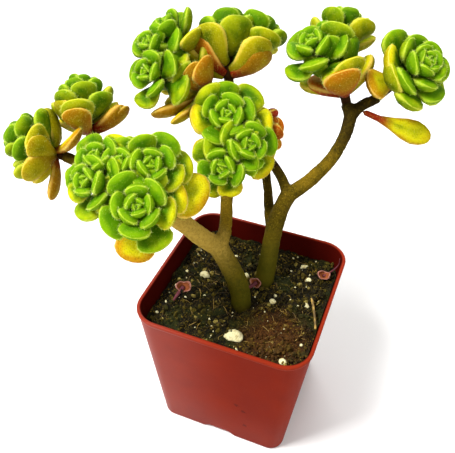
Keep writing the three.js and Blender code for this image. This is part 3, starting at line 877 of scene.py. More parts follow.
def strew_fibres():
    """Threads: steps of one length whose heading turns evenly, with a three-sided section."""
    count, rings, sides = FIBRES["count"], FIBRES["rings"], FIBRES["sides"]
    rng = np.random.default_rng(FIBRES["seed"])
    reach = pot_half(SOIL["top"]) - FIBRES["wall"]
    start = rng.uniform(-reach, reach, (count, 1, 2))
    angle = rng.uniform(0, 2 * np.pi, (count, 1))
    bend = rng.uniform(-FIBRES["bend"], FIBRES["bend"], (count, 1))
    long = rng.uniform(*FIBRES["long"], (count, 1))
    t = np.linspace(0, 1, rings)[None]
    angle = angle + bend * t
    steps = np.stack([np.cos(angle), np.sin(angle)], -1) * (long / rings)[..., None]
    flat = np.clip(start + np.cumsum(steps, 1), -reach - 1, reach + 1)
    arch = rng.uniform(0.0, FIBRES["arch"], (count, 1)) * np.sin(np.pi * t)
    z = soil_height(flat[..., 0], flat[..., 1]) + FIBRES["above"] + arch
    line = np.concatenate([flat, z[..., None]], -1)
    across = np.stack([-np.sin(angle), np.cos(angle), np.zeros_like(angle)], -1)[:, :, None]
    thin = rng.uniform(*FIBRES["thin"], (count, 1, 1, 1))
    turn = (np.arange(sides) * 2 * np.pi / sides)[:, None]
    ring = np.cos(turn) * across + np.sin(turn) * np.array([0, 0, 1.0])
    tubes = (line[:, :, None] + thin * ring).reshape(count, -1, 3)
    points = np.concatenate([tubes, line[:, [0, -1]]], 1)
    return points, repeat_faces(ring_faces(rings, sides), count, rings * sides + 2)


fibre_mesh = make_mesh("fibres", *strew_fibres())
print("fibre faces:", len(fibre_mesh.polygons))

# %% [markdown]
# The peat is nearly black where it is damp, olive where moss has started, and warm brown in a dry
# patch at the front. Its hollows are near black with painted shade. The relief and its crumbs could
# each have a colour, but then the crumbs look like beads. Both take their patterns from the
# object's own coordinates, so that a crumb matches the ground that it lies on.

# %% Peat finish
BROWN_SPOT = dict(at=(0.014, -0.013, 0.0495), reach=(4.0, 15.0), ragged=12)
PEAT = palette(dark=(10, 9, 4), light=(32, 27, 10), warm=(66, 56, 18))
CRUMB = palette(dark=(14, 12, 5), light=(44, 36, 13), warm=(82, 70, 24))
# Of these, gap is a near-black painted shade for the hollows between crumbs.
SOIL_MARKS = palette(gap=(6, 5, 2), gold=(142, 116, 30), moss=(44, 50, 14), pale=(100, 86, 24),
                     palest=(160, 142, 70), brown=(104, 60, 20))


def soil_material(name, dark, light, warm):
    """Peat: three browns mixed by two sizes of noise, near-black painted shade in its hollows, gold
    flecks and a green bloom of moss. A crumb may be pale, by its own shade; the relief has none, so
    it reads 0 there."""
    material, graph, surface = new_material(name, Specular_IOR_Level=0.12)
    shade = graph.mark("shade")
    coarse, fine = graph.noise(2.4, 4, 0.6), graph.noise(0.5, 3, 0.65)
    colour = graph.blend(coarse.step(0.38, 0.66), dark, light)
    colour = graph.blend(fine.step(0.52, 0.64) * 0.7, colour, warm)
    # Painted shade: near black where the fine noise is low, which is where the bump sinks too.
    colour = graph.blend((1 - fine).step(0.5, 0.6) * 0.9, colour, SOIL_MARKS["gap"])
    gold = graph.noise(0.8, 3, 0.7).step(0.57, 0.64) * graph.noise(5, 2).step(0.44, 0.56)
    colour = graph.blend(gold * 0.75, colour, SOIL_MARKS["gold"])
    colour = graph.blend(graph.noise(7, 2).step(0.5, 0.62) * 0.5, colour, SOIL_MARKS["moss"])
    uneven = 0.35 + fine.step(0.4, 0.6) * 0.65
    colour = graph.blend(shade.step(0.62, 0.8) * uneven * 0.7, colour, SOIL_MARKS["pale"])
    colour = graph.blend(shade.step(0.92, 0.96) * uneven, colour, SOIL_MARKS["palest"])
    ragged = graph.distance(BROWN_SPOT["at"]) + (coarse - 0.5) * BROWN_SPOT["ragged"]
    brown = 1 - ragged.step(*BROWN_SPOT["reach"])
    colour = graph.blend(brown * uneven * 0.6, colour, SOIL_MARKS["brown"])
    feed(surface, Base_Color=colour, Roughness=0.62 + fine * 0.35,
         Normal=graph.bump(fine + graph.noise(0.22, 2) * 0.5, 0.35))
    return material


add_piece("potting_mix", soil_mesh, "soil", soil_material("damp_peat", **PEAT), "soil")
add_piece("crumbs", crumb_mesh, "soil", soil_material("peat_crumb", **CRUMB))
print("peat and crumbs dressed")

# %% [markdown]
# Perlite is chalk white but never clean in a used pot, so brown dust and dark pores lie over the
# white, and a little light goes into it. One white would look like plastic. The fibres are too
# thin for detail, so two straw colours in soft noise are enough for them.

# %% Perlite and fibre finishes
PERLITE_COLOURS = palette(clean=(232, 224, 172), dusty=(186, 166, 100), pore=(120, 96, 62))
FIBRE_COLOURS = palette(brown=(92, 70, 28), gold=(176, 142, 64))


def grain_material():
    """Perlite: chalky, with pores and a little brown dust."""
    material, graph, surface = new_material("perlite_white", Roughness=0.95, Subsurface_Weight=0.1,
                                            Subsurface_Radius=(0.001, 0.0008, 0.0005))
    dust = graph.noise(1.1, 3, 0.6).step(0.46, 0.72)
    pores = graph.cells(0.35).step(0.05, 0.4)
    colour = graph.blend(dust * 0.75, PERLITE_COLOURS["clean"], PERLITE_COLOURS["dusty"])
    colour = graph.blend((1 - pores) * 0.5, colour, PERLITE_COLOURS["pore"])
    feed(surface, Base_Color=colour, Normal=graph.bump(pores, 0.2, 0.7))
    return material


def fibre_material():
    """Dry straw colour, in long soft changes of shade."""
    material, graph, surface = new_material("gold_fibre", Roughness=0.6)
    feed(surface, Base_Color=graph.blend(graph.noise(3, 1).step(0.35, 0.65),
                                         FIBRE_COLOURS["brown"], FIBRE_COLOURS["gold"]))
    return material


perlite_finish, fibre_finish = grain_material(), fibre_material()
add_piece("fine_perlite", grain_mesh, "perlite", perlite_finish)
add_piece("fibres", fibre_mesh, "straw", fibre_finish)
print("fine perlite and fibres dressed")

# %% [markdown]
# ## The large perlite grains
# Perlite is glass puffed up by heat, so its grains are white, lumpy and pitted. The solids hold
# eight large ones. Sculpting would make each by hand. Here each is a ball of directions in the
# solid's place, and every direction is pushed in or out by waves and noise.

# %% Perlite
PERLITE = ((3.0, 2.2, 1.7), (1.2, 1.2, 1.0), (1.1, 1.0, 0.9), (1.3, 1.0, 0.9), (1.1, 0.9, 0.9),
           (1.2, 1.1, 1.0), (2.0, 1.0, 1.0), (1.8, 1.2, 1.0))
PERLITE_SWELL = 1.04
PERLITE_SHIFT = 9


def lumpy_ball(centre, size, seed, rings=22, sides=34):
    """A ball whose radius is 1, plus two slow waves of direction, less two sizes of pit."""
    polar = np.linspace(0, np.pi, rings + 2)[1:-1, None]
    turn = (np.arange(sides) * 2 * np.pi / sides)[None]
    way = np.stack([np.sin(polar) * np.cos(turn), np.sin(polar) * np.sin(turn),
                    np.cos(polar) * np.ones_like(turn)], -1).reshape(-1, 3)
    way = np.concatenate([way, [[0, 0, 1], [0, 0, -1]]])
    a, b, c = way.T
    swell = 1 + 0.1 * np.sin(3 * a + seed) * np.cos(2.6 * b - seed) + 0.07 * np.sin(5 * c + 2 * seed)
    for depth, quick, slant, number in ((0.1, 4, 3, 3), (0.05, 9, 7, 5)):
        u, v = quick * a + PERLITE_SHIFT, quick * b + slant * c + PERLITE_SHIFT
        swell -= depth * np.abs(lattice_noise(u, v, 1.0, seed + number))
    return way * swell[:, None] * size + centre, ring_faces(rings, sides)


for number, size in enumerate(PERLITE, 1):
    low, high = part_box(f"perlite_{number}")
    centre = (np.array(low) + np.array(high)) / 2 / MM
    size = np.array(size) * PERLITE_SWELL
    mesh = make_mesh(f"grain_{number}", *lumpy_ball(centre, size, number))
    add_piece(f"grain_{number}", mesh, "perlite", perlite_finish, f"perlite_{number}")
print("grains:", len(PERLITE))

# %% [markdown]
# ## Stems
# The stems are woody and bare, and fork low. A stem is a list of arms, and an arm is the points
# that it passes with the radii that it has on the way. The points were set over the photograph
# through the fitted camera, each as deep as makes the arms leave a fork naturally. The same ones
# made the solids.

# %% Stem paths
LEFT_FORK = (-8.5, -3, 71.5)
RIGHT_FORK = (6.5, 19, 80)
TOP_FORK = (19, 39.5, 101)
STEMS = {
    "stem_left": [
        ([(3, -4.5, 26), (1, -4, 42), (-1.5, -3.5, 58), LEFT_FORK], (3, 3.3, 3.2, 3)),
        ([LEFT_FORK, (-11.5, -6.5, 76.5), (-16.5, -11, 85), (-22, -14.5, 91.5)], (3, 2.8, 2.7, 2.4)),
        ([(-19, -13, 88.5), (-30, -9.5, 92.5), (-43, -3, 94), (-51, 2.5, 96.5)],
         (2.2, 1.9, 1.7, 1.6)),
        ([(-36, -6.5, 93), (-48, -6, 92.5), (-58, -6, 94)], (1.7, 1.6, 1.5)),
        ([LEFT_FORK, (-7.5, 0, 76), (-9.5, 6, 82), (-12, 12.5, 85)], (2.6, 2.1, 2, 1.9)),
    ],
    "stem_right": [
        ([(3, 4, 26), (3.5, 6.5, 42), (4, 10, 56), (4, 14, 66), (5, 16.5, 75), RIGHT_FORK],
         (3.1, 3.3, 3.1, 2.9, 2.7, 2.6)),
        ([(4, 14, 67), (1, 18.5, 72), (-2, 24.5, 77), (-6, 30.5, 83), (-14, 36, 92), (-20.5, 35, 103)],
         (2, 1.7, 1.6, 1.6, 1.6, 1.5)),
        ([RIGHT_FORK, (3.5, 22.5, 83), (-0.5, 26, 85)], (1.9, 1.6, 1.5)),
        ([RIGHT_FORK, (12, 23, 85), (15.5, 26.5, 89), (17.5, 30, 92), (19, 35, 96.5), TOP_FORK,
          (17, 41.5, 104)], (2.5, 2.2, 2.1, 2.1, 2, 2.1, 1.9)),
        ([TOP_FORK, (21.5, 43, 103.5), (26, 47, 105)], (2, 1.8, 1.6)),
    ],
}
print("arms:", {name: len(arms) for name, arms in STEMS.items()})

# %% [markdown]
# Each arm could be a curve object with a round section. Two functions do the same with plain
# arrays, which leaves an ordinary mesh: a smooth line through the points, and rings square to
# it, whose radius tapers along the arm.

# %% Tubes along a line
def smooth_line(points, per_span=10):
    """A curve through the points: each span is a cubic with the slope of its neighbours' chord."""
    p = np.asarray(points, float)
    ends = np.concatenate([[2 * p[0] - p[1]], p, [2 * p[-1] - p[-2]]])
    t = np.linspace(0, 1, per_span, endpoint=False)[:, None]
    spans = []
    for i in range(len(p) - 1):
        a, b, c, d = ends[i:i + 4]
        spans.append(0.5 * (2 * b + (c - a) * t + (2 * a - 5 * b + 4 * c - d) * t**2
                            + (3 * b - a - 3 * c + d) * t**3))
    return np.concatenate([*spans, p[-1:]])


NO_ARM_RUNS = (0.31, 0.2, 0.93)


def tube(line, radii, sides=16):
    """Rings square to the line, with a pole at each end. A ring's sideways direction is the
    cross product of the way ahead and a direction in which no arm runs."""
    line = np.asarray(line, float)
    radii = np.interp(np.linspace(0, 1, len(line)), np.linspace(0, 1, len(radii)), radii)
    ahead = np.gradient(line, axis=0)
    ahead /= np.linalg.norm(ahead, axis=1)[:, None]
    side = np.cross(ahead, NO_ARM_RUNS)
    side /= np.linalg.norm(side, axis=1)[:, None]
    other = np.cross(ahead, side)
    turn = np.arange(sides) * 2 * np.pi / sides
    ring = np.cos(turn)[:, None] * side[:, None] + np.sin(turn)[:, None] * other[:, None]
    grid = line[:, None] + radii[:, None, None] * ring
    return np.concatenate([grid.reshape(-1, 3), line[[0, -1]]]), ring_faces(len(line), sides)


print("points in the smooth line of one arm:", len(smooth_line(STEMS["stem_left"][0][0])))

# %% [markdown]
# At a fork real wood flows together, while tubes that cross show a sharp seam. So the tubes of a
# stem are cut into small cubes by a voxel remesh, which leaves one skin round them all, and that
# is smoothed. Then slow swellings, fine grain and the low scars of dropped leaves are pushed out
# of the skin, along its normals.

# %% Stem wood
WOOD = dict(swell=1.03, voxel=0.42, rounds=10, soften=0.5)
RELIEF = dict(shift=99, slow=0.14, grain=0.07, scar=0.13, scar_width=0.09)


def flowed_together(mesh):
    """Remeshes joined tubes into one skin and smooths it, so that forks blend."""
    helper = bpy.data.objects.new("helper", mesh)
    bpy.context.scene.collection.objects.link(helper)
    skin = helper.modifiers.new("skin", "REMESH")
    skin.mode, skin.voxel_size = "VOXEL", WOOD["voxel"] * MM
    soften = helper.modifiers.new("soften", "SMOOTH")
    soften.factor, soften.iterations = WOOD["soften"], WOOD["rounds"]
    graph = bpy.context.evaluated_depsgraph_get()
    made = bpy.data.meshes.new_from_object(helper.evaluated_get(graph))
    bpy.data.objects.remove(helper)
    return made


def stem_mesh(name, arms):
    """Tubes flowed together, with three kinds of noise pushed out of them. A scar is a groove
    where the last noise is near 0."""
    tubes = [tube(smooth_line(path), np.array(radii) * WOOD["swell"]) for path, radii in arms]
    mesh = flowed_together(make_mesh(name, *join_sets(tubes)))
    points, normals = read_points(mesh)
    x, y, z = points.T
    shift = RELIEF["shift"]
    slow = lattice_noise(x + 0.6 * y + shift, z + shift, 5.5, 31) * RELIEF["slow"]
    grain = lattice_noise(1.6 * (x + y) + shift, 0.8 * z + shift, 1.3, 32) * RELIEF["grain"]
    ring = np.abs(lattice_noise(x - y + shift, 1.5 * z + 0.5 * x + shift, 2.2, 33))
    scars = -RELIEF["scar"] * (ring < RELIEF["scar_width"])
    write_points(mesh, points + normals * (slow + grain + scars)[:, None])
    mesh.polygons.foreach_set("use_smooth", np.ones(len(mesh.polygons), bool))
    return mesh


stem_meshes = {name: stem_mesh(name + "_wood", arms) for name, arms in STEMS.items()}
print("stem faces:", {name: len(mesh.polygons) for name, mesh in stem_meshes.items()})

# %% [markdown]
# The bark is olive to golden brown and finely speckled. It is green where it leaves the soil, darker
# low down on the right, tan about the fork of the left stem, darkened by painted shade where an arm
# runs under the heads, and near black round the top fork. Painting would need an unwrapped mesh.
# Instead each of these zones is a range of height, or of the place across the pot, with an edge
# made uneven by noise.

# %% Bark finish
# The colour for where an arm runs under the heads is painted shade.
BARK = palette(streak=(50, 42, 4), olive=(98, 80, 10), gold=(122, 96, 16), tan=(172, 142, 60),
               damp=(60, 50, 6), hidden=(30, 24, 3), pale_speck=(176, 142, 44),
               dark_speck=(34, 24, 4), green=(78, 78, 16), top=(18, 12, 4), muddy=(34, 25, 10))


def bark_material():
    """Golden olive bark: brown streaks, then a tint for each zone, one of them painted shade,
    then pale and dark specks.
    """
    material, graph, surface = new_material("olive_bark", Specular_IOR_Level=0.03)
    x, y, height = graph.split()
    streak = graph.noise(0.9, 4, 0.7, distortion=0.5)
    patch = graph.noise(7, 3, 0.5)
    speck = graph.noise(0.34, 2, 0.6)
    colour = graph.blend(streak.step(0.3, 0.7), BARK["streak"], BARK["olive"])
    colour = graph.blend(patch.step(0.42, 0.62) * 0.5, colour, BARK["gold"])
    uneven = (patch - 0.5) * 8
    tan = (1 - (x + uneven).step(-10, 2)) * (1 - (y + uneven).step(-6, 2)) * height.step(54, 74)
    tan = tan * (1 - height.step(88, 93)) * (0.65 + streak.step(0.4, 0.6) * 0.3)
    colour = graph.blend(tan, colour, BARK["tan"])
    # Darker where x is above about 2 mm and the height below about 83 mm.
    damp = x.step(0, 4) * (1 - height.step(78, 88)) * 0.5
    colour = graph.blend(damp, colour, BARK["damp"])
    # Painted shade: dark where an arm of the right stem runs under the heads.
    hidden = (1 - x.step(1, 5)) * y.step(15, 21) * 0.6
    colour = graph.blend(hidden, colour, BARK["hidden"])
    rough = 0.3 + height.step(58, 80) * 0.7
    colour = graph.blend(speck.step(0.58, 0.7) * rough * 0.5, colour, BARK["pale_speck"])
    colour = graph.blend((1 - speck).step(0.6, 0.74) * rough * 0.5, colour, BARK["dark_speck"])
    green = (1 - height.step(54, 78)) * 0.65
    colour = graph.blend(green, colour, BARK["green"])
    top = height.step(90, 99) * (0.55 + patch.step(0.35, 0.6) * 0.4)
    colour = graph.blend(top, colour, BARK["top"])
    colour = graph.blend((1 - height.step(49, 53)) * 0.6, colour, BARK["muddy"])
    feed(surface, Base_Color=colour, Roughness=0.6 + streak * 0.25,
         Normal=graph.bump(streak * 0.7 + speck * 0.3, 0.2, 0.6))
    return material


bark_finish = bark_material()
for name, mesh in stem_meshes.items():
    add_piece(name + "_wood", mesh, "bark", bark_finish, name)
print("stems dressed:", *stem_meshes)

# %% [markdown]
# ## One leaf
# A leaf is a thick spoon: narrow where it leaves the stem, broadest near its rounded tip, and
# gently bent. It could be one modelled leaf, copied and scaled, but then all leaves are alike.
# Two outlines, one for the width and one for the thickness, let each leaf have its own.

# %% Leaf outlines
LEAF = dict(stalk=0.26, broadest=0.8, cap=0.66, blunt=2.6, thickness=0.4, thinnest=1.3, bend=16.0,
            cup=0.1, inset=0.8, wave=0.035, above=0.45, below=0.55)
BODY = dict(stalk=0.6, full=0.5, cap=0.62, blunt=2.4)


def cap_share(along, start):
    """0 up to the start of the rounded cap, and 1 at the tip."""
    return np.clip((along - start) / (1 - start), 0, 1)


def leaf_outline(along, neck):
    """The share of the full width: a neck, a smooth rise from it, then a blunt round cap."""
    rise = mix(LEAF["stalk"] * (1 - neck), 1, ease((along - neck) / (LEAF["broadest"] - neck)))
    return rise * np.sqrt(1 - cap_share(along, LEAF["cap"]) ** LEAF["blunt"])


def leaf_body(along):
    """The share of the full thickness: a smooth rise from the stalk, then a round cap."""
    rise = mix(BODY["stalk"], 1, ease(along / BODY["full"]))
    return rise * np.sqrt(1 - cap_share(along, BODY["cap"]) ** BODY["blunt"])


print("width shares along a leaf:", leaf_outline(np.linspace(0, 1, 6), 0).round(2))

# %% [markdown]
# Leaves grow in heads, all round one axis. A head could be an empty object that carries its
# leaves, but the meshes have to lie at the origin, so the axis is kept as plain directions: the
# way that the head faces, and two more square to it.

# %% The way that a head faces
def heading(turn, rise):
    """The direction at a turn round the upright axis and a rise above level, in degrees."""
    turn, rise = math.radians(turn), math.radians(rise)
    flat = math.cos(rise)
    return np.array([flat * math.cos(turn), flat * math.sin(turn), math.sin(rise)])


def head_frame(head):
    """The way that a head faces, and two directions square to it, the first of them level."""
    axis = heading(head["turn"], head["rise"])
    side = np.cross((0, 0, 1), axis)
    side /= np.linalg.norm(side)
    return axis, side, np.cross(axis, side)


print("a head that rises by 90 degrees faces", heading(0, 90).round(2))

# %% [markdown]
# The middle line of a leaf is an arc from its root, and the section across it is a lens. A
# lattice could bend one flat leaf again and again, but a formula is quicker: one function gives
# the skin at any share of the length and any angle round the section, for all leaves of a head
# at once.

# %% Leaf skin
def leaf_skin(head, leaves, s, phi):
    """For each leaf, the points of its skin at the shares s of its length and the angles phi
    round its section, and the directions that point out of the skin there. The middle line is
    an arc from the root. Across it the skin is a lens: the half width times cos phi, and the
    thickness times sin phi, with both edges lifted a little to make a cup."""
    axis, side, other = head_frame(head)

    def column(key, usual=0.0):
        return np.array([leaf.get(key, usual) for leaf in leaves], float)[:, None]

    turn, long = np.radians(column("turn")), column("long")
    out = (np.cos(turn) * side + np.sin(turn) * other)[:, None]
    root = np.array(head["at"], float) + column("height")[..., None] * axis \
        + column("inset", LEAF["inset"])[..., None] * out
    start, change = np.radians(column("lean") + column("bend")), np.radians(-2 * column("bend"))
    angle = start + change * s
    middle = (root + (long * (np.sin(angle) - np.sin(start)) / change)[..., None] * axis
              + (long * (np.cos(start) - np.cos(angle)) / change)[..., None] * out)
    ahead = np.cos(angle)[..., None] * axis + np.sin(angle)[..., None] * out
    flat_up = np.sin(angle)[..., None] * axis - np.cos(angle)[..., None] * out
    flat_across = np.cross(ahead, flat_up)
    roll = (np.radians(column("roll")) * (0.3 + 0.7 * s))[..., None]
    across = np.cos(roll) * flat_across + np.sin(roll) * flat_up
    up = np.cos(roll) * flat_up - np.sin(roll) * flat_across
    half = column("width") / 2 * leaf_outline(s, column("neck"))
    share = column("thickness", LEAF["thickness"])
    thick = np.maximum(LEAF["thinnest"], share * column("width")) * leaf_body(s)
    wave = 1 + LEAF["wave"] * np.sin(3 * np.pi * s + 2 * phi + 6 * column("seed"))
    lift = np.where(np.sin(phi) > 0, LEAF["above"], LEAF["below"]) * np.sin(phi)
    cup = LEAF["cup"] * half * np.cos(phi) ** 2
    skin = (middle + (half * np.cos(phi) * wave)[..., None] * across
            + (thick * lift + cup)[..., None] * up)
    tip = cap_share(s, LEAF["cap"]) ** 3
    way = ((np.cos(phi) * (1 - tip))[..., None] * across + np.sin(phi)[..., None] * up
           + tip[..., None] * ahead)
    return skin, way / np.linalg.norm(way, axis=-1, keepdims=True)


print("half width at the middle of a leaf 10 mm wide:", 5 * leaf_outline(0.5, 0).round(2), "mm")

# %% [markdown]
# The mesh of a leaf is that skin, read at a few rings of a few points each. Even steps would
# waste rings on the plain part, so they stand closer together towards the rounded tip.

# %% Leaf rings
RINGS = np.array([0.05, 0.25, 0.45, 0.62, 0.76, 0.87, 0.945, 0.985])
SIDES = 12
TURNS = np.arange(SIDES) * 2 * np.pi / SIDES
LEAF_S = np.concatenate([np.repeat(RINGS, SIDES), (0.0, 1.0)])[None]
LEAF_PHI = np.concatenate([np.tile(TURNS, len(RINGS)), (0.0, 0.0)])[None]


def leaf_points(head, leaves):
    """The rings of every leaf of a head, and the two poles, which lie on its middle line: each
    is halfway between the skin's two edges there."""
    skin = leaf_skin(head, leaves, LEAF_S, LEAF_PHI)[0]
    both = leaf_skin(head, leaves, LEAF_S[:, -2:], np.array([[0.0, 0.0]]))[0]
    opposite = leaf_skin(head, leaves, LEAF_S[:, -2:], np.array([[np.pi, np.pi]]))[0]
    skin[:, -2:] = (both + opposite) / 2
    return skin


print("points in a leaf:", LEAF_S.size)

# %% [markdown]
# Every leaf is covered in short pale down, which glows round its rim against the light. Hair
# curves would be dropped when the object is kept, so each hair is a tiny spike of four faces.
# Most stand along the rim, where they show, and the rest are strewn over both faces.

# %% Leaf down
DOWN = dict(rim=90, face=60, rim_long=(0.3, 0.62), face_long=(0.16, 0.34), from_rim=0.2,
            from_face=0.1, to_tip=0.6, off_rim=0.2, stray=0.28, deep=0.1, thick=0.032)
NO_HAIR_POINTS = (0.35, 0.2, 0.91)


def leaf_down(head, leaves, seed):
    """Hairs on the leaves of a head: three-sided spikes rooted a little under the skin. Along
    the rim phi is near 0 or near half a turn, and on the faces it is anything."""
    rng = np.random.default_rng(seed)
    rim, face = (len(leaves), DOWN["rim"]), (len(leaves), DOWN["face"])
    s = np.concatenate([mix(DOWN["from_rim"], 1, rng.random(rim) ** DOWN["to_tip"]),
                        mix(DOWN["from_face"], 1, rng.random(face))], 1)
    edge = rng.normal(0, DOWN["off_rim"], rim) + np.pi * rng.integers(0, 2, rim)
    phi = np.concatenate([edge, rng.uniform(0, 2 * np.pi, face)], 1)
    root, way = leaf_skin(head, leaves, s, phi)
    way += rng.normal(0, DOWN["stray"], way.shape)
    long = np.concatenate([rng.uniform(*DOWN["rim_long"], rim),
                           rng.uniform(*DOWN["face_long"], face)], 1)
    side = np.cross(way, NO_HAIR_POINTS)
    side /= np.linalg.norm(side, axis=-1, keepdims=True)
    other = np.cross(way, side)
    foot = root - DOWN["deep"] * way
    corners = [foot + DOWN["thick"] * (math.cos(t) * side + math.sin(t) * other)
               for t in (0, 2.1, 4.2)]
    points = np.stack([*corners, root + long[..., None] * way], 2).reshape(-1, 3)
    spike = np.array([(0, 1, 3), (1, 2, 3), (2, 0, 3), (2, 1, 0)])
    return points, repeat_faces([spike], long.size, 4)


print("hairs on a leaf:", DOWN["rim"] + DOWN["face"])

# %% [markdown]
# ## Rosettes
# In a rosette each new leaf stands a golden angle further round than the last, and is shorter,
# steeper, plumper and higher up; a few tiny ones close the bud. Placing some four hundred leaves
# by hand would take days, and this one rule sets nearly all of them. Small draws make each a
# little different.

# %% Rosette rule
GOLDEN_ANGLE = 137.5
YOUNG = dict(lean=16, bend=10, widen=0.08, plump=0.56)
VARY = dict(long=0.05, lean=4, roll=6)
BY_HAND = dict(roll=0.0, height=0.0, bend=14.0)
BUD = dict(leaves=4, lean=(14, 4), share=(0.85, 0.55), lift=(0.3, 0.9), inset=(0.45, 0.1),
           broad=0.85, bend=8.0, green=0.75)


def grown_leaf(head, i, seed):
    """Leaf i of a head, counted from the oldest. Its age is 0 for the oldest and 1 for the
    youngest, and every value is a mixture by a power of the age."""
    age = i / (head["leaves"] - 1)
    vary_long, vary_lean, vary_roll = [float(draw(seed, 3 * i + n)) for n in range(3)]
    long = mix(head["long"], head["young"], age**1.2) * (1 + VARY["long"] * vary_long)
    lean = mix(head["spread"], YOUNG["lean"], age**1.25) + VARY["lean"] * vary_lean
    return dict(turn=head["spin"] + GOLDEN_ANGLE * i, lean=lean - head["bent"].get(i, 0),
                roll=VARY["roll"] * vary_roll, long=long,
                width=long * (head["broad"] + YOUNG["widen"] * age),
                thickness=mix(LEAF["thickness"], YOUNG["plump"], ease(age * 1.5 - 0.4)),
                height=head["tall"] * age**0.85, bend=mix(LEAF["bend"], YOUNG["bend"], age),
                tone=head["aged"].get(i, head["blush"] * (1 - age) ** 1.2),
                seed=float(draw(seed, 50 + i)))


def bud_leaf(head, i, seed):
    """Leaf i of the bud: the golden angle goes on, and the leaf closes over the middle."""
    share = i / (BUD["leaves"] - 1)
    long = head["young"] * mix(*BUD["share"], share)
    return dict(turn=head["spin"] + GOLDEN_ANGLE * (head["leaves"] + i),
                lean=mix(*BUD["lean"], share), roll=0.0, long=long, width=long * BUD["broad"],
                thickness=YOUNG["plump"], height=head["tall"] + mix(*BUD["lift"], share),
                inset=mix(*BUD["inset"], share), bend=BUD["bend"],
                tone=max(head["blush"] - BUD["green"], 0.0), seed=float(draw(seed, 120 + i)))


def rosette_leaves(head, seed):
    """The leaves of a head: oldest first by the golden angle, then those listed one by one, then
    the bud's."""
    grown = [grown_leaf(head, i, seed) for i in range(head["leaves"])]
    set_by_hand = [dict(turn=turn, lean=lean, long=long, width=width, tone=tone,
                        seed=float(draw(seed, 90 + i)), **BY_HAND)
                   for i, (turn, lean, long, width, tone) in enumerate(head["extra"])]
    return grown + set_by_hand + [bud_leaf(head, i, seed) for i in range(BUD["leaves"])]


print("each leaf is turned on by", GOLDEN_ANGLE, "degrees")

# %% [markdown]
# Now the plant itself. Each head says where it sits, which way it faces and how open it is. One
# rule for all would make them twins, so each has its own numbers, read off the photograph. A few
# leaves that stand out there are listed one by one, as turn, lean, length, width and tone.

# %% Heads of each cluster
def head(at, turn, rise, leaves, long, young, tall, spread, broad, spin=0, extra=(), bent=(),
         blush=0.24, aged=()):
    """A head's values by name. It sits at a point and faces a turn and a rise. Long and young
    are the lengths of its oldest and youngest leaf, broad is their width by length, tall is the
    height of its core, and spread is how far the oldest lean out. Bent lifts single leaves, as
    (number, degrees) pairs. Blush is how far the old leaves have turned orange, and aged sets
    that for single leaves."""
    return dict(at=at, turn=turn, rise=rise, leaves=leaves, long=long, young=young, tall=tall,
                spread=spread, broad=broad, spin=spin, extra=extra, bent=dict(bent), blush=blush,
                aged=dict(aged))


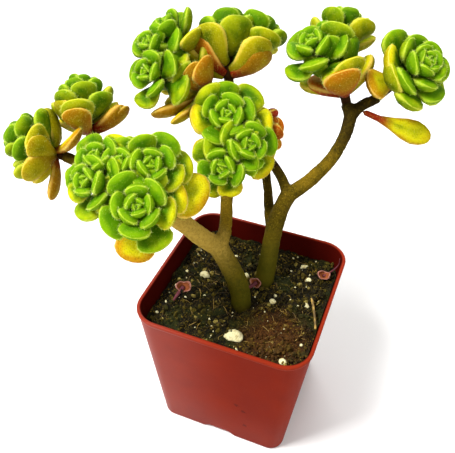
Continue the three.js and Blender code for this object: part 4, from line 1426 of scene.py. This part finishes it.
CLUSTERS = {
    "rosettes_front": dict(
        heads=[head((-22.5, -22.5, 97), 292, 44, 16, 12.5, 4.5, 6, 78, 0.88, 20,
                    [(258, 106, 14.5, 11.5, 0.74)], aged=[(5, 0.23), (0, 0.36)]),
               head((-24, -13.5, 102.5), 302, 50, 14, 11.5, 4.5, 6, 78, 0.88, 0,
                    [(322, 88, 16.5, 14.5, 0.48)], aged=[(4, 0.24), (5, 0.25)]),
               head((-29.5, -15, 102), 272, 52, 11, 10, 4.5, 5, 76, 0.88, 60, aged=[(7, 0.26)]),
               head((-34, -20.5, 99.5), 250, 40, 13, 10.5, 4.5, 6, 76, 0.88, 0,
                    aged=[(2, 0.27), (7, 0.24)]),
               head((-36, -16.5, 101.5), 255, 62, 10, 10.5, 4.5, 5, 74, 0.88, 100)],
        twigs=[((-21, -13.5, 90), (-22.5, -22.5, 97)), ((-21, -13.5, 90), (-24, -13.5, 102.5)),
               ((-22, -14.5, 91), (-29.5, -15, 102)), ((-22, -14.5, 91), (-34, -20.5, 99.5)),
               ((-29.5, -15, 100), (-36, -16.5, 101.5))]),
    "rosette_far_left": dict(
        heads=[head((-61, -6, 94.5), 186, 18, 23, 13, 5, 11, 78, 0.76, 0,
                    [(40, 70, 13, 8, 0.5), (82, 118, 14, 8, 0.62), (318, 110, 14, 8, 0.6)],
                    [(1, 25)], 0.3, [(0, 0.45), (1, 0.4), (2, 0.4), (3, 0.36), (5, 0.3)])],
        twigs=[((-56, -5.5, 93.5), (-61, -6, 94.5))]),
    "rosette_left": dict(
        heads=[head((-54.4, 4, 97.4), 130, 50, 22, 13.5, 5.5, 13, 68, 0.78, 20,
                    [(70, 66, 14, 9, 0.56), (160, 66, 14, 8, 0.62)],
                    [(0, 36), (5, 12)], 0.28,
                    [(0, 0.4), (1, 0.62), (2, 0.34), (3, 0.3), (4, 0.4), (9, 0.3)])],
        twigs=[((-50, 2, 95.5), (-54.4, 4, 97.4))]),
    "rosettes_back": dict(
        heads=[head((-27, 29.5, 105), 190, 40, 12, 14, 8, 9, 70, 0.76, 60,
                    [(340, 80, 17, 8, 0.5), (325, 62, 19, 10, 0.7), (40, 45, 14, 9, 0.7)],
                    [(0, 20), (8, 5)], 0.5, [(0, 0.74)]),
               head((-37, 22, 110), 245, 38, 11, 11.5, 4.5, 6, 76, 0.88),
               head((-39.5, 29.5, 113.5), 235, 48, 11, 12, 4.5, 7, 76, 0.88),
               head((-35.5, 34, 115.5), 200, 60, 8, 12.5, 6, 7, 58, 0.7, 40),
               head((-20.5, 34.5, 109.5), 110, 48, 15, 16, 8, 13, 62, 0.78, 0,
                    [(150, 66, 15, 11.5, 0.7), (30, 50, 15.5, 10, 0.7)], (), 0.36),
               head((-18, 45, 112.5), 75, 50, 11, 14, 7, 7, 64, 0.82, blush=0.35)],
        twigs=[((-20, 35, 101.5), (-20.5, 34.5, 109.5)), ((-20, 35, 101.5), (-27, 29.5, 105)),
               ((-27, 29.5, 105), (-37, 22, 110)), ((-27, 29.5, 105), (-39.5, 29.5, 113.5)),
               ((-27, 29.5, 105), (-35.5, 34, 115.5)), ((-20.5, 34.5, 109.5), (-18, 45, 112.5))]),
    "rosettes_middle": dict(
        heads=[head((-16, 24, 98.5), 285, 50, 17, 14, 4.5, 7, 78, 0.86, 0,
                    [(60, 92, 12, 9.5, 1.0)], [(1, 26), (4, 12)], aged=[(0, 0.42), (4, 0.36)]),
               head((-11, 19.5, 93.5), 315, 38, 15, 13, 4.5, 7, 78, 0.86, 30,
                    [(350, 100, 13.5, 9, 0.75), (20, 96, 13, 9, 0.9)],
                    aged=[(0, 0.4), (2, 0.42)]),
               head((-12.5, 15.5, 90.5), 275, 20, 13, 12, 4.5, 6, 78, 0.86, 100,
                    [(170, 92, 12, 9, 0.4)], aged=[(4, 0.4)]),
               head((-11.5, 30, 93), 5, 25, 5, 10, 8, 5, 74, 0.66, 0, blush=1.7,
                    aged=[(3, 1.2), (4, 1.0)])],
        twigs=[((-11.5, 11.5, 84), (-12.5, 15.5, 90.5)), ((-12.5, 15.5, 89), (-11, 19.5, 93.5)),
               ((-11, 19.5, 93), (-16, 24, 98.5)), ((-11, 19.5, 92), (-11.5, 30, 93)),
               ((0.5, 25.5, 84.5), (-11.5, 30, 93))]),
    "rosettes_right": dict(
        heads=[head((15.5, 43, 106.5), 155, 60, 9, 14, 10, 10, 66, 0.76, 150,
                    [(45, 54, 14, 12.5, 0.78), (285, 50, 12, 11.5, 0.95)], [(0, 15)], 0.4,
                    [(0, 0.42)]),
               head((7, 44, 114.5), 225, 58, 14, 12.5, 4.5, 7, 76, 0.86),
               head((10, 52, 115.5), 90, 55, 12, 13.5, 6, 8, 62, 0.8, 90,
                    aged=[(1, 0.32), (3, 0.22)])],
        twigs=[((17.5, 41, 103), (15.5, 43, 106.5)), ((15.5, 43, 106.5), (7, 44, 114.5)),
               ((15.5, 43, 106.5), (10, 52, 115.5))]),
    "rosette_far_right": dict(
        heads=[head((30, 52, 109.5), 328, 47, 23, 15, 4, 12, 74, 0.8, 40,
                    [(172, 82, 13, 10.5, 0.62)], [(1, 22), (3, 6)], 0.22,
                    [(6, 0.4), (1, 0.32), (2, 0.26)])],
        twigs=[((24.5, 46, 104.5), (30, 52, 109.5))]),
}
print("heads:", sum(len(c["heads"]) for c in CLUSTERS.values()))

# %% [markdown]
# The leaves of a cluster, the woody cores that they stand on and the twigs between its heads
# make one mesh. A leaf's colour depends on its age and on the place on the leaf, so both are
# stored with the points, and a single material can dress the whole plant.

# %% Rosette meshes
CORE = dict(radii=(1.7, 1.5, 1.0), sides=10)
TWIG = dict(radii=(1.5, 1.6), sides=10)
VARY_TONE = 0.08
LEAF_MARKS = dict(along=LEAF_S[0], rim=np.abs(np.cos(LEAF_PHI[0])),
                  under=0.5 - 0.5 * np.sin(LEAF_PHI[0]))


def head_core(head):
    """The short woody tip that the leaves stand on."""
    axis = heading(head["turn"], head["rise"])
    at = np.array(head["at"], float)
    line = [at - axis, at + axis * head["tall"] * 0.5, at + axis * (head["tall"] + 1)]
    return tube(line, **CORE)


def cluster_mesh(name, cluster, seed):
    """All leaves, cores and twigs of a cluster, with what the material needs stored per point:
    tone is how far a leaf has aged, along runs from stalk to tip, rim is 1 at its edge,
    under is 1 on its back, and wood is 1 on cores and twigs."""
    sets, marks = [], {key: [] for key in ("tone", *LEAF_MARKS, "wood")}
    for number, one in enumerate(cluster["heads"]):
        leaves = rosette_leaves(one, seed + number)
        points = leaf_points(one, leaves)
        each = points.shape[1]
        sets.append((points, repeat_faces(ring_faces(len(RINGS), SIDES), len(leaves), each)))
        aged = np.array([leaf["tone"] + VARY_TONE * leaf["seed"] for leaf in leaves])
        marks["tone"].append(np.repeat(aged, each))
        marks["wood"].append(np.zeros(len(leaves) * each))
        for key, values in LEAF_MARKS.items():
            marks[key].append(np.tile(values, len(leaves)))
    wooden = [head_core(one) for one in cluster["heads"]]
    wooden += [tube(smooth_line(path, 3), **TWIG) for path in cluster["twigs"]]
    for points, faces in wooden:
        sets.append((points, faces))
        for key, parts in marks.items():
            parts.append(np.full(len(points), 1.0 if key == "wood" else 0.5))
    mesh = make_mesh(name, *join_sets(sets))
    mark(mesh, **{key: np.concatenate(parts) for key, parts in marks.items()})
    return mesh


print("marks on each leaf: tone,", ", ".join(LEAF_MARKS), "and wood")

# %% [markdown]
# A leaf is bright green when young. As it ages it turns yellow, then orange, and red towards the
# stalk, first on its back and round its rim. Fine down makes the surface soft, so it has no
# sharp gloss. One tint per leaf would look cut from paper, so the age is changed over the leaf by
# noise and by the stored marks before it picks the colour.

# %% Leaf finish
LEAF_COLOURS = palette(dark_green=(52, 96, 0), green=(72, 120, 0), young=(88, 138, 2),
                       light_green=(122, 162, 4), yellow=(206, 199, 12), brown=(180, 130, 8),
                       orange=(192, 98, 12), red=(150, 32, 16), green_rim=(188, 208, 56),
                       old_rim=(230, 190, 84), light_dot=(196, 188, 78), dark_dot=(96, 78, 4),
                       wood=(46, 27, 8))
# Two painted shades, multiplied over the colour: one for the backs, one for the heart.
BACK_SHADE = (0.42, 0.38, 0.34)
HEART_SHADE = (0.5, 0.42, 0.4)


def leaf_material():
    """The age runs from green through yellow and brown to orange, with red near the stalk. Then
    come the painted shade of the back and of the heart, the pale rim, and fine light and dark dots."""
    material, graph, surface = new_material(
        "aeonium_leaf", Specular_IOR_Level=0.03, Subsurface_Weight=0.1,
        Subsurface_Radius=(0.002, 0.0024, 0.0003), Subsurface_Scale=1.0)
    names = ("tone", "along", "rim", "under", "wood")
    tone, along, rim, under, wood = [graph.mark(name) for name in names]
    patch, fine = graph.noise(4.5, 3, 0.5), graph.noise(0.4, 2, 0.6)
    edge = rim.step(0.88, 0.99) * along.step(0.1, 0.4)
    turned = tone.step(0.12, 0.4)
    tip_or_rim = rim.sum("MAXIMUM", along.step(0.7, 1.0))
    band = tip_or_rim * along.step(0.15, 0.6)
    spread = (0.8 - along) * (under * 0.8 - 0.35) + (band - 0.85) * 0.3
    age = tone * (1 + under * 0.2) + (patch - 0.5) * 0.35 + spread * turned
    green = graph.blend(patch.step(0.32, 0.68), LEAF_COLOURS["dark_green"], LEAF_COLOURS["green"])
    green = graph.blend((1 - tone.step(0.0, 0.16)) * 0.4, green, LEAF_COLOURS["young"])
    green = graph.blend(band.step(0.4, 1.0) * 0.6, green, LEAF_COLOURS["light_green"])
    colour = graph.blend(age.step(0.12, 0.48), green, LEAF_COLOURS["yellow"])
    colour = graph.blend(age.step(0.42, 0.72), colour, LEAF_COLOURS["brown"])
    colour = graph.blend((age + edge * 0.15).step(0.72, 1.02), colour, LEAF_COLOURS["orange"])
    heat = (1 - along.step(0.1, 0.85)) * turned
    red = (tone + heat * 0.6 + (patch - 0.5) * 0.3).step(0.92, 1.3)
    colour = graph.blend(red, colour, LEAF_COLOURS["red"])
    # Painted shade: the backs of the leaves are darkened, the old ones more.
    shade = under * (0.34 + turned * 0.62 - tone.step(0.45, 0.8) * 0.2)
    colour = graph.blend(shade, colour, BACK_SHADE, "MULTIPLY")
    # Painted shade: each leaf darkens towards its stalk, in the heart of its rosette.
    deep = (1 - along.step(0.0, 0.45)) * (0.75 - turned * 0.35)
    colour = graph.blend(deep, colour, HEART_SHADE, "MULTIPLY")
    pale = graph.blend(turned, LEAF_COLOURS["green_rim"], LEAF_COLOURS["old_rim"])
    colour = graph.blend(edge * (0.6 + turned * 0.1), colour, pale)
    light_dots = fine.step(0.55, 0.7) * (0.16 + turned * 0.22)
    colour = graph.blend(light_dots, colour, LEAF_COLOURS["light_dot"])
    dark_dots = (1 - fine).step(0.54, 0.68) * (0.1 + turned * 0.35)
    colour = graph.blend(dark_dots, colour, LEAF_COLOURS["dark_dot"])
    colour = graph.blend(wood, colour, LEAF_COLOURS["wood"])
    feed(surface, Base_Color=colour, Roughness=0.5 + fine * 0.16,
         Normal=graph.bump(fine * 0.8 + patch * 0.6, 0.28, 0.6))
    return material


leaf_finish = leaf_material()
print("leaf finish has", len(leaf_finish.node_tree.nodes), "nodes")

# %% [markdown]
# The down is pale, and light comes through each hair, so that even hairs in the shade look
# bright. Glassy hairs would be slow to render and noisy. A faint glow in the hair's own colour
# gives the same look.

# %% Down finish
DOWN_COLOURS = palette(deep=(190, 214, 84), pale=(218, 232, 128))


def down_material():
    """Pale yellow-green hairs in two shades, whose glow is their colour times a small strength."""
    material, graph, surface = new_material("leaf_down", Roughness=0.6, Specular_IOR_Level=0.05,
                                            Emission_Strength=0.12)
    share = graph.noise(2.0, 1).step(0.4, 0.6)
    hair = graph.blend(share, DOWN_COLOURS["deep"], DOWN_COLOURS["pale"])
    feed(surface, Base_Color=hair, Emission_Color=hair)
    return material


down_finish = down_material()
print("down finish has", len(down_finish.node_tree.nodes), "nodes")

# %% [markdown]
# Now every cluster is built and dressed. Its leaves are one piece and its down is another. The
# down follows the same leaves, because they come from the same seed, and each cluster has a seed
# of its own, so that no two are alike.

# %% Dressed clusters
for place, (name, cluster) in enumerate(CLUSTERS.items()):
    seed = 1 + 10 * place
    mesh = cluster_mesh(name + "_leaves", cluster, seed)
    add_piece(name + "_leaves", mesh, "leaf", leaf_finish, name)
    down = [leaf_down(one, rosette_leaves(one, seed + number), seed + number)
            for number, one in enumerate(cluster["heads"])]
    add_piece(name + "_down", make_mesh(name + "_down", *join_sets(down)), "leaf", down_finish)
    print(name, "faces:", len(mesh.polygons))

# %% [markdown]
# ## The long leaf
# One old leaf hangs from the top fork of the right stem on a long red stalk. It could be modelled
# apart, but it is the same shape as the others with a narrow neck, so the same functions make
# it. Only its age differs: it runs along the leaf, from a red stalk to a yellow tip.

# %% Long leaf
LONG_HEAD = dict(at=(21.5, 41.5, 102.5), turn=290, rise=40)
LONG_LEAF = dict(turn=340, lean=92, long=23.5, width=8, roll=0, height=0, bend=8, seed=0.3,
                 neck=0.16)
LONG_AGE = dict(stalk=0.84, fall=0.36, redder=0.3, red_part=0.25, woody=0.18)


def long_leaf_mesh():
    """One leaf whose tone falls along it, and is raised on the first part of the stalk."""
    points = leaf_points(LONG_HEAD, [LONG_LEAF])
    mesh = make_mesh("long_leaf", points, ring_faces(len(RINGS), SIDES))
    along = LEAF_MARKS["along"]
    red = np.maximum(1 - along / LONG_AGE["red_part"], 0)
    tone = LONG_AGE["stalk"] - LONG_AGE["fall"] * ease(along) + LONG_AGE["redder"] * red
    mark(mesh, tone=tone, **LEAF_MARKS, wood=np.full(len(along), LONG_AGE["woody"]))
    return mesh


add_piece("long_leaf", long_leaf_mesh(), "leaf_old", leaf_finish, "leaf_long")
print("long leaf made")

# %% [markdown]
# ## Fallen leaves and straw
# Three dried leaves lie on the soil, each curled into a cup with a wavy lip. Cloth simulation
# could curl a flat leaf, but its result is hard to steer. A cup is a wall curve carried round,
# like a bowl thrown on a wheel, and then bent.

# %% Fallen leaves
DRY_LEAVES = {
    "dry_leaf_1": dict(at=(-19.7, -6.2, 52.2), radius=2.3, depth=1.8, turn=320, rise=66,
                       stalk=[(-20.4, -9.4, 51.2), (-20.6, -12.2, 51.0)], thin=(0.85, 0.3)),
    "dry_leaf_2": dict(at=(2.0, 4.3, 52.2), radius=1.8, depth=1.6, turn=265, rise=40,
                       stalk=[(0.6, 3.0, 50.9), (-0.9, 1.0, 50.6)], thin=(0.8, 0.4)),
    "dry_leaf_3": dict(at=(22.4, 17.6, 51.4), radius=1.9, depth=1.3, turn=290, rise=68,
                       stalk=[(24.6, 20.6, 51.4), (26.2, 21.6, 54.0), (26.2, 21.9, 56.6)],
                       thin=(0.35, 0.12)),
}
CUP_WALL = 0.35
CUP_SIDES = 28


def dry_leaf_mesh(name, at, radius, depth, turn, rise, stalk, thin):
    """A cup and its stalk. With t from near 0 to a quarter turn, the cup's wall stands out by
    sin t to the power 0.8 and lies cos t deep, each times the cup's size. It runs out along the
    outer skin and back along the inner one, and is bent more towards the lip."""
    axis, side, other = head_frame(dict(turn=turn, rise=rise))
    t = np.linspace(0.12, 1, 9) * np.pi / 2
    skins = [np.stack([(radius - wall) * np.sin(t) ** 0.8, (wall - depth) * np.cos(t), t], 1)
             for wall in (0, CUP_WALL)]
    r, z, t = np.concatenate([skins[0], skins[1][::-1]]).T[:, :, None]
    phi = np.arange(CUP_SIDES) * 2 * np.pi / CUP_SIDES
    lip = np.sin(t) ** 3
    r = r * (1 + lip * (0.16 * np.sin(2 * phi + radius) + 0.07 * np.sin(5 * phi)))
    z = z + lip * radius * (0.2 * np.sin(2 * phi + 2.2) + 0.08 * np.sin(3 * phi + 1))
    grid = np.array(at) + z[..., None] * axis + (r * np.cos(phi))[..., None] * side \
        + (r * np.sin(phi))[..., None] * other
    foot = np.array(at) - depth * axis
    cup = np.concatenate([grid.reshape(-1, 3), [foot, foot + CUP_WALL * axis]])
    stem, stem_faces = tube(smooth_line([foot + 0.2 * axis, *stalk]), thin, 8)
    points, faces = join_sets([(cup, ring_faces(len(t), CUP_SIDES)), (stem, stem_faces)])
    mesh = make_mesh(name + "_skin", points, faces)
    inner = np.repeat(np.arange(len(t)) >= len(t) // 2, CUP_SIDES)
    mark(mesh, along=np.concatenate([np.repeat(np.sin(t), CUP_SIDES), np.zeros(2 + len(stem))]),
         inside=np.concatenate([inner, [0, 1], np.zeros(len(stem))]),
         stalk=np.concatenate([np.zeros(len(cup)), np.ones(len(stem))]))
    return mesh


dry_meshes = {name: dry_leaf_mesh(name, **values) for name, values in DRY_LEAVES.items()}
print("fallen leaf faces:", [len(mesh.polygons) for mesh in dry_meshes.values()])

# %% [markdown]
# A dried leaf is purple and pink outside and orange brown inside, with painted shade deep in the
# cup and a painted highlight along the lip. Two materials could dress the two sides, but the wall
# is one closed skin, so the stored marks tell one material where it is.

# %% Fallen leaf finish
DRY = palette(purple=(112, 52, 58), pink=(176, 112, 96), inside=(140, 76, 40), bottom=(60, 20, 12),
              lip=(190, 132, 116), stalk=(96, 44, 58), spot=(64, 34, 24))


def dry_material():
    """Pink and purple outside, orange brown inside, dark brown painted shade deep in the cup, and a
    painted highlight along the lip.
    """
    material, graph, surface = new_material("dried_leaf", Roughness=0.7, Specular_IOR_Level=0.1)
    along, inside, stalk = [graph.mark(n) for n in ("along", "inside", "stalk")]
    patch = graph.noise(1.2, 4, 0.6)
    colour = graph.blend(patch.step(0.35, 0.65), DRY["purple"], DRY["pink"])
    colour = graph.blend(inside, colour, DRY["inside"])
    # Painted shade: dark brown deep inside the cup.
    colour = graph.blend(inside * (1 - along.step(0.1, 0.6)), colour, DRY["bottom"])
    # Painted highlight: paler along the lip.
    lip = along.step(0.9, 1.0) * (0.35 + patch.step(0.4, 0.6) * 0.5)
    colour = graph.blend(lip, colour, DRY["lip"])
    colour = graph.blend(stalk * 0.8, colour, DRY["stalk"])
    colour = graph.blend(graph.noise(0.6, 3).step(0.52, 0.66) * 0.6, colour, DRY["spot"])
    feed(surface, Base_Color=colour, Normal=graph.bump(patch, 0.4, 0.9))
    return material


dry_finish = dry_material()
for name, mesh in dry_meshes.items():
    add_piece(name + "_skin", mesh, "dry_leaf", dry_finish, name)
print("fallen leaves dressed:", len(dry_meshes))

# %% [markdown]
# One dry straw lies along the right wall of the pot. A cylinder would be too straight and even,
# so it is the same kind of tube as the stems, much thinner, and it wears the finish of the
# fibres.

# %% Straw
STRAW = ([(21.3, 6, 50.8), (23.9, -0.5, 51.2), (25.9, -6.8, 51.8)], (0.45, 0.4, 0.35))
straw_mesh = make_mesh("straw", *tube(smooth_line(STRAW[0]), STRAW[1], 10))
add_piece("straw", straw_mesh, "straw", fibre_finish, "straw_1")
print("straw faces:", len(straw_mesh.polygons))

# %% [markdown]
# ## The size of the dressed object
# The dressed object has to stay inside the box of the solids, but for a small share of each
# side. The size of the box that the dressed object fills is written out.

# %% Finish
low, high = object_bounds()
print("dressed object fills, in mm:", [round((h - l) / MM, 1) for l, h in zip(low, high)])
